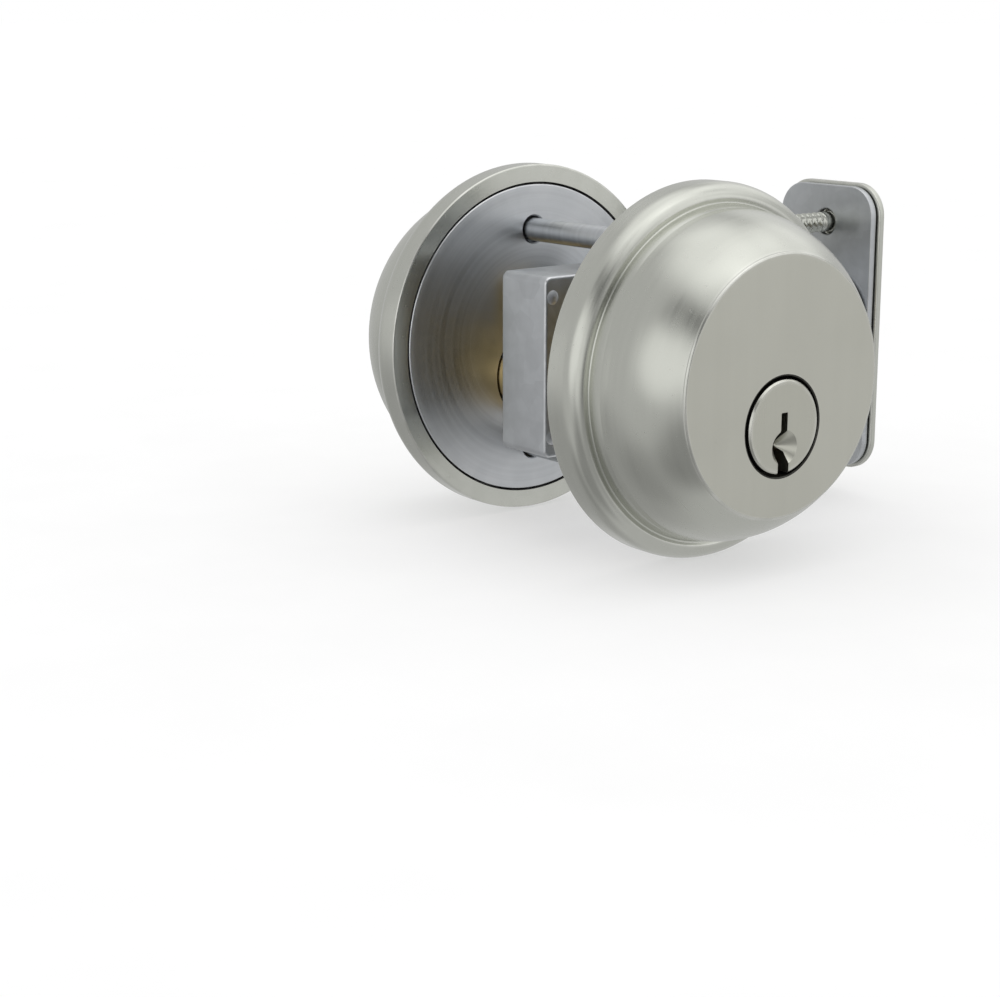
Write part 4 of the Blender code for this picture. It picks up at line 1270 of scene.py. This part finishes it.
@dataclass
class ThroughBolts:
    """The two bolts that clamp the door between the support plates."""

    seat: Seat
    height: float = 21.0
    radius: float = 2.2
    head_radius: float = 3.9
    head: float = 2.6
    under_head: float = 3.1
    end: float = -56.5
    thread_start: float = -30.0
    pitch: float = 0.8

    def build(self) -> None:
        """Build both bolts: a domed head with a cross recess, a plain shank and a threaded end."""
        top = self.under_head + self.head
        for label, axis in above_and_below(self.height):
            line = eased([(1.6, top), (self.head_radius * 0.72, top - 0.1), (self.head_radius, top - 1.3),
                          (self.head_radius, self.under_head), (self.radius, self.under_head),
                          (self.radius, self.end + 0.8), (self.radius - 0.8, self.end)],
                         [0, 0.6, 0.5, 0.15, 0.1, 0.2, 0])
            bolt = threaded(label + "_through_bolt", self.seat, line, (self.thread_start, self.end + 0.9),
                            self.pitch, 0.34, axis)
            recess = cross_cutter("recess", self.seat, axis.centre[:2], top, 3.6, 1.5)
            combine(bolt, [recess], Cut.TAKE)
            dress(bolt, "body", ZINC_TURNED)


# ---------------------------------------------------------------- latch


@dataclass
class LatchCase:
    """The latch's case: a flat box round the hub and a tube that fills the edge bore."""

    seat: Seat
    back: float = -20.5
    front: float = 21.0
    height: float = 32.6
    depth: float = 12.4
    wall: float = 1.2
    tube_radius: float = 12.4
    tube_bore: float = 11.5
    tube_end: float = 56.5
    hub_hole: float = 5.5
    rivets: tuple[tuple[float, float], ...] = ((-18.8, 12.6), (-18.8, -12.6), (18.9, 13.4), (18.9, -13.4))
    rivet_radius: float = 1.3
    rivet_dome: float = 0.35

    def build(self) -> None:
        """Build the case, hollow and with its hub holes, and the rivets that close it."""
        long, half, w = self.front - self.back, self.depth / 2, self.wall
        block = Spindle(((self.back + self.front) / 2, 0, 0))
        outline = rounded_rectangle(long, self.height, 1.4)
        case = plate("latch_case", self.seat, outline, -half, half, 0.5, block)
        along = Spindle(points_to="x")
        line = tube_line(9, self.tube_radius, self.front - 1, self.tube_end, 0.4)
        combine(case, [turned("tube", self.seat, line, along, around=112)], Cut.ADD)
        room = rounded_rectangle(long - 2 * w, self.height - 2 * w, 0.6)
        hollow = plate("hollow", self.seat, room, w - half, half - w, 0.2, block)
        line = [(self.tube_bore, self.front - 2 * w), (self.tube_bore, 70)]
        bore = turned("tube_bore", self.seat, line, along, around=112)
        centre = Spindle((0, -PLUG_DROP, 0))
        hub = rods("hub_hole", self.seat, self.hub_hole, -half, half, [centre], flare=0.3)
        combine(case, [hollow, bore, *hub], Cut.TAKE)
        dress(case, "body", ZINC_PLATE)
        rise = np.linspace(self.rivet_radius, 0.2, 8)
        dome = np.stack([rise, half + self.rivet_dome * (1 - (rise / self.rivet_radius) ** 2)], axis=1)
        line = np.vstack([dome[::-1] * [1, -1], dome])
        for number, (x, y) in enumerate(self.rivets, start=1):
            rivet = turned(f"case_rivet_{number}", self.seat, line, Spindle((x, y, 0)), around=40)
            dress(rivet, "body", SPRING_STEEL, node="latch_case")


@dataclass
class LatchWorks:
    """What moves in the latch: the hub with its crank, the crank pin and the leaf spring under the hub."""

    seat: Seat
    hub_radius: float = 5.2
    hub_length: float = 14.1
    crank_radius: float = BOLT_THROW / (2 * math.sin(HALF_SWING))
    crank_half: float = 3.0
    crank_depth: float = 2.4
    pin_radius: float = 1.8
    pin_length: float = 8.8
    leaf_span: float = 34.0
    leaf_depth: float = 0.5

    def crank_pin_place(self) -> tuple[float, float]:
        """Say where the crank pin stands at rest, from the latch's middle."""
        reach = self.crank_radius * math.sin(HALF_SWING)
        return -reach, reach - PLUG_DROP

    def build(self) -> None:
        """Build the hub with its crank and slot, the pin and the leaf."""
        centre = Spindle((0, -PLUG_DROP, 0))
        half = self.hub_length / 2
        line = tube_line(3.4, self.hub_radius, -half, half, 0.35)
        hub = turned("crank_hub", self.seat, line, centre, around=96)
        end = arc((0, self.crank_radius), self.crank_half + 0.4, -20, 200, 24)
        arm = joined([(self.crank_half, 0)], end, [(-self.crank_half, 0)])
        cosine, sine = math.cos(HALF_SWING), math.sin(HALF_SWING)
        arm = arm @ np.array([(cosine, sine), (-sine, cosine)])
        low, high = -self.crank_depth / 2, self.crank_depth / 2
        combine(hub, [plate("crank", self.seat, arm, low, high, 0.25, centre)], Cut.ADD)
        x, y = self.crank_pin_place()
        window = rounded_rectangle(2.5, 6.5, 0.2, 4)
        slot = plate("slot", self.seat, window, -half - 2, half + 2, 0.02, centre)
        hole = rods("pin_hole", self.seat, 2.0, low, high, [Spindle((x, y, 0))], 0.15)
        combine(hub, [slot, *hole], Cut.TAKE)
        dress(hub, "hub", CAST_ZINC)
        line = tube_line(0.8, self.pin_radius, -self.pin_length / 2, self.pin_length / 2, 0.35)
        pin = turned("crank_pin", self.seat, line, Spindle((x, y, 0)), around=48)
        dress(pin, "hub", SPRING_STEEL)
        crest, foot = -PLUG_DROP - self.hub_radius - GAP, -14.3
        t = np.linspace(1, -1, 41)
        upper = np.stack([self.leaf_span / 2 * t, foot + (crest - foot) * (1 - t**2)], axis=1)
        outline = joined(upper, upper[::-1] - [0, self.leaf_depth])
        leaf = plate("detent_spring", self.seat, outline, -3.5, 3.5, 0.1)
        dress(leaf, "body", SPRING_STEEL)


@dataclass
class DeadBolt:
    """The bolt: a round-edged bar with a forked tail, and the hardened pin that turns inside it."""

    seat: Seat
    works: LatchWorks
    height: float = 18.6
    depth: float = 12.6
    length: float = 38.0
    rounding: float = 1.5
    rim: float = 0.9
    armour_radius: float = 2.2
    armour_setback: float = 8.0

    def build(self) -> None:
        """Build the bar, add the two fork plates, and cut the fork's slot and the pin's hole."""
        back = BACKSET - self.length
        outline = rounded_rectangle(self.height, self.depth, self.rounding, 9)
        bar = plate("bolt", self.seat, outline, back, BACKSET, self.rim, Spindle(points_to="x"))
        pin_x, pin_y = self.works.crank_pin_place()
        head_back, head_front, root = pin_x - 4.45, pin_x + 4.45, back + 4
        tail = eased([(head_back, 0.5), (root, 0.5), (root, 9.0), (head_front, 9.0), (head_front, 14.8),
                      (head_back, 14.8)], [0.8, 0, 0, 0.8, 0.8, 0.8], closed=True)
        thick, levels = 2.2, (1.6, -3.8)
        plates = [plate(f"fork_{low}", self.seat, tail, low, low + thick, 0.2) for low in levels]
        combine(bar, plates, Cut.ADD)
        low = pin_y - self.works.pin_radius - GAP
        high = self.works.crank_radius - PLUG_DROP + self.works.pin_radius + GAP
        slot = rounded_rectangle(4.9, high - low, 0.8) + [pin_x, (low + high) / 2]
        cutter = plate("fork_slot", self.seat, slot, -12, 12, 0.02)
        setback = Spindle((BACKSET - self.armour_setback, 0, 0), "y")
        hole = rods("armour_hole", self.seat, self.armour_radius + GAP, -6.7, self.height, [setback])
        combine(bar, [cutter, *hole], Cut.TAKE)
        dress(bar, "bolt", SATIN_PLAIN)
        low, high = -6.1, self.height / 2 - 0.5
        line = tube_line(1.0, self.armour_radius, low, high, 0.4)
        pin = turned("bolt_armour_pin", self.seat, line, setback, around=48)
        dress(pin, "bolt", SPRING_STEEL)


@dataclass
class EdgePlates:
    """The faceplate in the door's edge, the backing plate behind it and their two wood screws."""

    seat: Seat
    height: float = 57.2
    width: float = 25.4
    depth: float = 1.5
    corner: float = 6.35
    backing_depth: float = 1.4
    inset: float = 0.6
    screw_height: float = 20.65
    screw_head: float = 4.0
    screw_shank: float = 2.0
    screw_length: float = 19.0

    def windowed(self, name: str, shrink: float, low: float, high: float, rim: float) -> Piece:
        """Build a round-cornered plate with the bolt's window in it.

        Args:
            name: Name of the plate.
            shrink: How much it is drawn in from the faceplate's outline.
            low: Height of its rear face.
            high: Height of its front face.
            rim: Radius of its rims.

        Returns:
            The plate.
        """
        width, height = self.width - 2 * shrink, self.height - 2 * shrink
        outline = rounded_rectangle(width, height, self.corner - shrink, 17)
        made = plate(name, self.seat, outline, low, high, rim)
        window = plate("window", self.seat, rounded_rectangle(13.2, 19.2, 1.5), low - 2, high + 2, 0.02)
        return combine(made, [window], Cut.TAKE)

    def build(self) -> None:
        """Build the two plates and the screws, which have a countersunk head and a wood thread."""
        face = self.windowed("faceplate", 0, -self.depth, 0, 0.35)
        bore = self.screw_shank + GAP
        wide = self.screw_head + GAP
        sink = [(bore, -4), (bore, -2.0), (wide, 0), (wide + 1, 1)]
        axes = dict(above_and_below(self.screw_height))
        sinks = [turned(f"sink_{n}", self.seat, sink, axis, around=72) for n, axis in axes.items()]
        combine(face, sinks, Cut.TAKE)
        dress(face, "body", SATIN_PLAIN)
        front, room = -self.depth - GAP, self.screw_shank + 0.6
        rear = front - self.backing_depth
        backing = self.windowed("backing_plate", self.inset, rear, front, 0.15)
        holes = rods("backing_hole", self.seat, room, rear, front, list(axes.values()), 0.2)
        combine(backing, holes, Cut.TAKE)
        dress(backing, "body", ZINC_PLATE)
        depth = self.screw_head - self.screw_shank
        line = eased([(1.5, 0), (self.screw_head, 0), (self.screw_shank, -depth), (self.screw_shank, -14.0),
                      (0.15, -self.screw_length)], [0, 0.12, 0.3, 0.3, 0])
        for label, axis in axes.items():
            screw = threaded(label + "_face_screw", self.seat, line, (-4.0, -18.6), 1.5, 0.62, axis)
            combine(screw, [cross_cutter("recess", self.seat, axis.centre[:2], 0, 4.4, 1.6)], Cut.TAKE)
            dress(screw, "body", SATIN_TURNED)


# ---------------------------------------------------------------- studio


@dataclass(frozen=True)
class LightPatch:
    """A soft light or dark flag of the studio: where it stands, how wide it is and what it adds."""

    azimuth: float
    elevation: float
    full: float
    gone: float
    change: float

    def towards(self) -> Vector:
        """Give its direction: azimuth is counted from the street side towards the door's edge."""
        az, el = math.radians(self.azimuth), math.radians(self.elevation)
        return Vector((math.sin(az) * math.cos(el), -math.cos(az) * math.cos(el), math.sin(el)))


@dataclass
class Studio:
    """The floor, the soft surround that the metal mirrors, and the camera. The lights are given one by one.
    """

    floor_level: float = -0.0337
    floor_depth: float = 0.01
    floor_tone: float = 0.43
    floor_glow: float = 0.50
    backdrop: float = 1.0
    fill: float = 1.25
    surround: float = 0.62
    ceiling: tuple[LightPatch, ...] = (
        LightPatch(60, 80, 12, 42, 0.55),
        LightPatch(50, 62, 8, 24, 0.18),
        LightPatch(-10, 55, 10, 30, 0.22),
        LightPatch(150, 55, 6, 22, 0.2),
    )
    edge_side: tuple[LightPatch, ...] = (
        LightPatch(28, 37, 12, 27, 0.5),
        LightPatch(60, 28, 5, 15, 0.4),
        LightPatch(92, 38, 8, 24, 0.48),
        LightPatch(118, 26, 6, 19, 0.26),
        LightPatch(42, 9, 5, 15, 0.5),
        LightPatch(48, -9, 6, 17, 0.12),
    )
    lens_side: tuple[LightPatch, ...] = (
        LightPatch(-64, 15, 10, 33, 0.46),
        LightPatch(-28, 3, 8, 24, 0.28),
        LightPatch(-5, 2, 5, 14, 0.16),
        LightPatch(-137, 0, 6, 20, 0.1),
    )
    flags: tuple[LightPatch, ...] = (
        LightPatch(-58, 43, 6, 18, -0.32),
        LightPatch(-34, 36, 5, 14, -0.42),
        LightPatch(-14, 25, 5, 13, -0.52),
        LightPatch(2, 12, 4, 12, -0.45),
        LightPatch(14, -4, 4, 11, -0.25),
        LightPatch(10, -20, 8, 22, -0.22),
    )
    underside: tuple[LightPatch, ...] = (
        LightPatch(-36, -44, 14, 34, -0.27),
        LightPatch(-95, -60, 10, 30, -0.1),
        LightPatch(-150, -45, 20, 50, -0.18),
    )
    lens: float = 74.88
    distance: float = 0.3709
    azimuth: float = 43.5
    elevation: float = 9.9
    looks_at: tuple[float, float, float] = (-28.7, 18.5, -22.8)

    def floor(self) -> None:
        """Lay a large pale floor just under the lock: rings of a disc, with a slow fine grain."""
        radius = np.array([0.2, 0.6, 1.5, 4.0, 9.0])
        angle = np.linspace(0, 2 * np.pi, 64, endpoint=False)
        top = np.stack([radius[:, None] * np.cos(angle), radius[:, None] * np.sin(angle),
                        np.full((5, 64), self.floor_level)], axis=-1)
        rings = np.concatenate([top, top[::-1] - [0, 0, self.floor_depth]])
        disc = closed_shell("studio_floor", rings, np.zeros((10, 65, 2)), np.zeros(10), Ends.CAPPED)
        made = bpy.data.materials.new("pale_floor")
        sheet = empty_sheet(made)
        grain = sheet.noise(sheet.add("ShaderNodeTexCoord").outputs["Object"], 40.0, 4.0)
        colour, glow = (
            sheet.mix(grain, rgba((1, 1, 1), middle - 0.01), rgba((1, 1, 1), middle + 0.01))
            for middle in (self.floor_tone, self.floor_glow)
        )
        shader = sheet.add("ShaderNodeBsdfPrincipled", {
            "Base Color": colour, "Roughness": 0.9, "Specular IOR Level": 0.0,
            "Emission Color": glow, "Emission Strength": 1.0})
        sheet.add("ShaderNodeOutputMaterial", {"Surface": shader.outputs[0]})
        disc.data.materials.append(made)
        disc.visible_glossy = False

    def light(self) -> None:
        """Light the studio from its surround: a plain level, to which each patch adds its share by how
        close a direction lies to it. The lens sees a plain pale backdrop, and matt things a plain fill.
        """
        world = bpy.data.worlds.new("studio")
        bpy.context.scene.world = world
        sheet = empty_sheet(world)
        towards = sheet.add("ShaderNodeTexCoord").outputs["Generated"]
        towards = sheet.add("ShaderNodeVectorMath", {0: towards}, operation="NORMALIZE").outputs[0]
        level: object = self.surround
        for patch in (*self.ceiling, *self.edge_side, *self.lens_side, *self.flags, *self.underside):
            sockets = {0: towards, 1: patch.towards()}
            near = sheet.add("ShaderNodeVectorMath", sockets, operation="DOT_PRODUCT").outputs["Value"]
            gone, full = math.cos(math.radians(patch.gone)), math.cos(math.radians(patch.full))
            share = sheet.between(near, gone, full, 0.0, 1.0)
            level = sheet.plus(level, sheet.times(share, patch.change))
        path = sheet.add("ShaderNodeLightPath").outputs
        for seen_by, plain in (("Is Diffuse Ray", self.fill), ("Is Camera Ray", self.backdrop)):
            level = sheet.plus(level, sheet.times(path[seen_by], sheet.math("SUBTRACT", plain, level)))
        glow = sheet.add("ShaderNodeBackground", {"Color": (1, 1, 1, 1), "Strength": level})
        sheet.add("ShaderNodeOutputWorld", {"Surface": glow.outputs[0]})
        bpy.context.scene.view_settings.view_transform = "Standard"

    def camera(self) -> None:
        """Stand the camera at its azimuth, elevation and distance from the lock's origin, and turn it,
        level, to the point that it looks at.
        """
        az, el = math.radians(self.azimuth), math.radians(self.elevation)
        away = Vector((-math.sin(az) * math.cos(el), -math.cos(az) * math.cos(el), math.sin(el)))
        data = bpy.data.cameras.new("camera")
        data.lens = self.lens
        data.clip_start, data.clip_end = 0.01, 50.0
        view = bpy.data.objects.new("camera", data)
        view.location = away * self.distance
        aim = Vector(self.looks_at) * MM - view.location
        view.rotation_euler = aim.to_track_quat("-Z", "Y").to_euler()
        bpy.context.scene.collection.objects.link(view)
        bpy.context.scene.camera = view

    def build(self) -> None:
        """Set up the floor, the light and the camera."""
        self.floor()
        self.light()
        self.camera()


def main() -> None:
    """Build the lock sub-assembly by sub-assembly, then the studio."""
    logging.basicConfig(level=logging.INFO, format="%(message)s")
    works = LatchWorks(LATCH)
    assemblies = (
        Housing("outside", STREET, posts=True),
        Housing("inside", ROOM, posts=False),
        Cylinder("outside", STREET, driver_lug=-155),
        Cylinder("inside", ROOM, driver_lug=90),
        ThroughBolts(ROOM),
        LatchCase(LATCH),
        works,
        DeadBolt(LATCH, works),
        EdgePlates(EDGE),
        Studio(),
    )
    for assembly in assemblies:
        assembly.build()
        LOG.info("built %s", type(assembly).__name__)


if __name__ == "__main__":
    main()
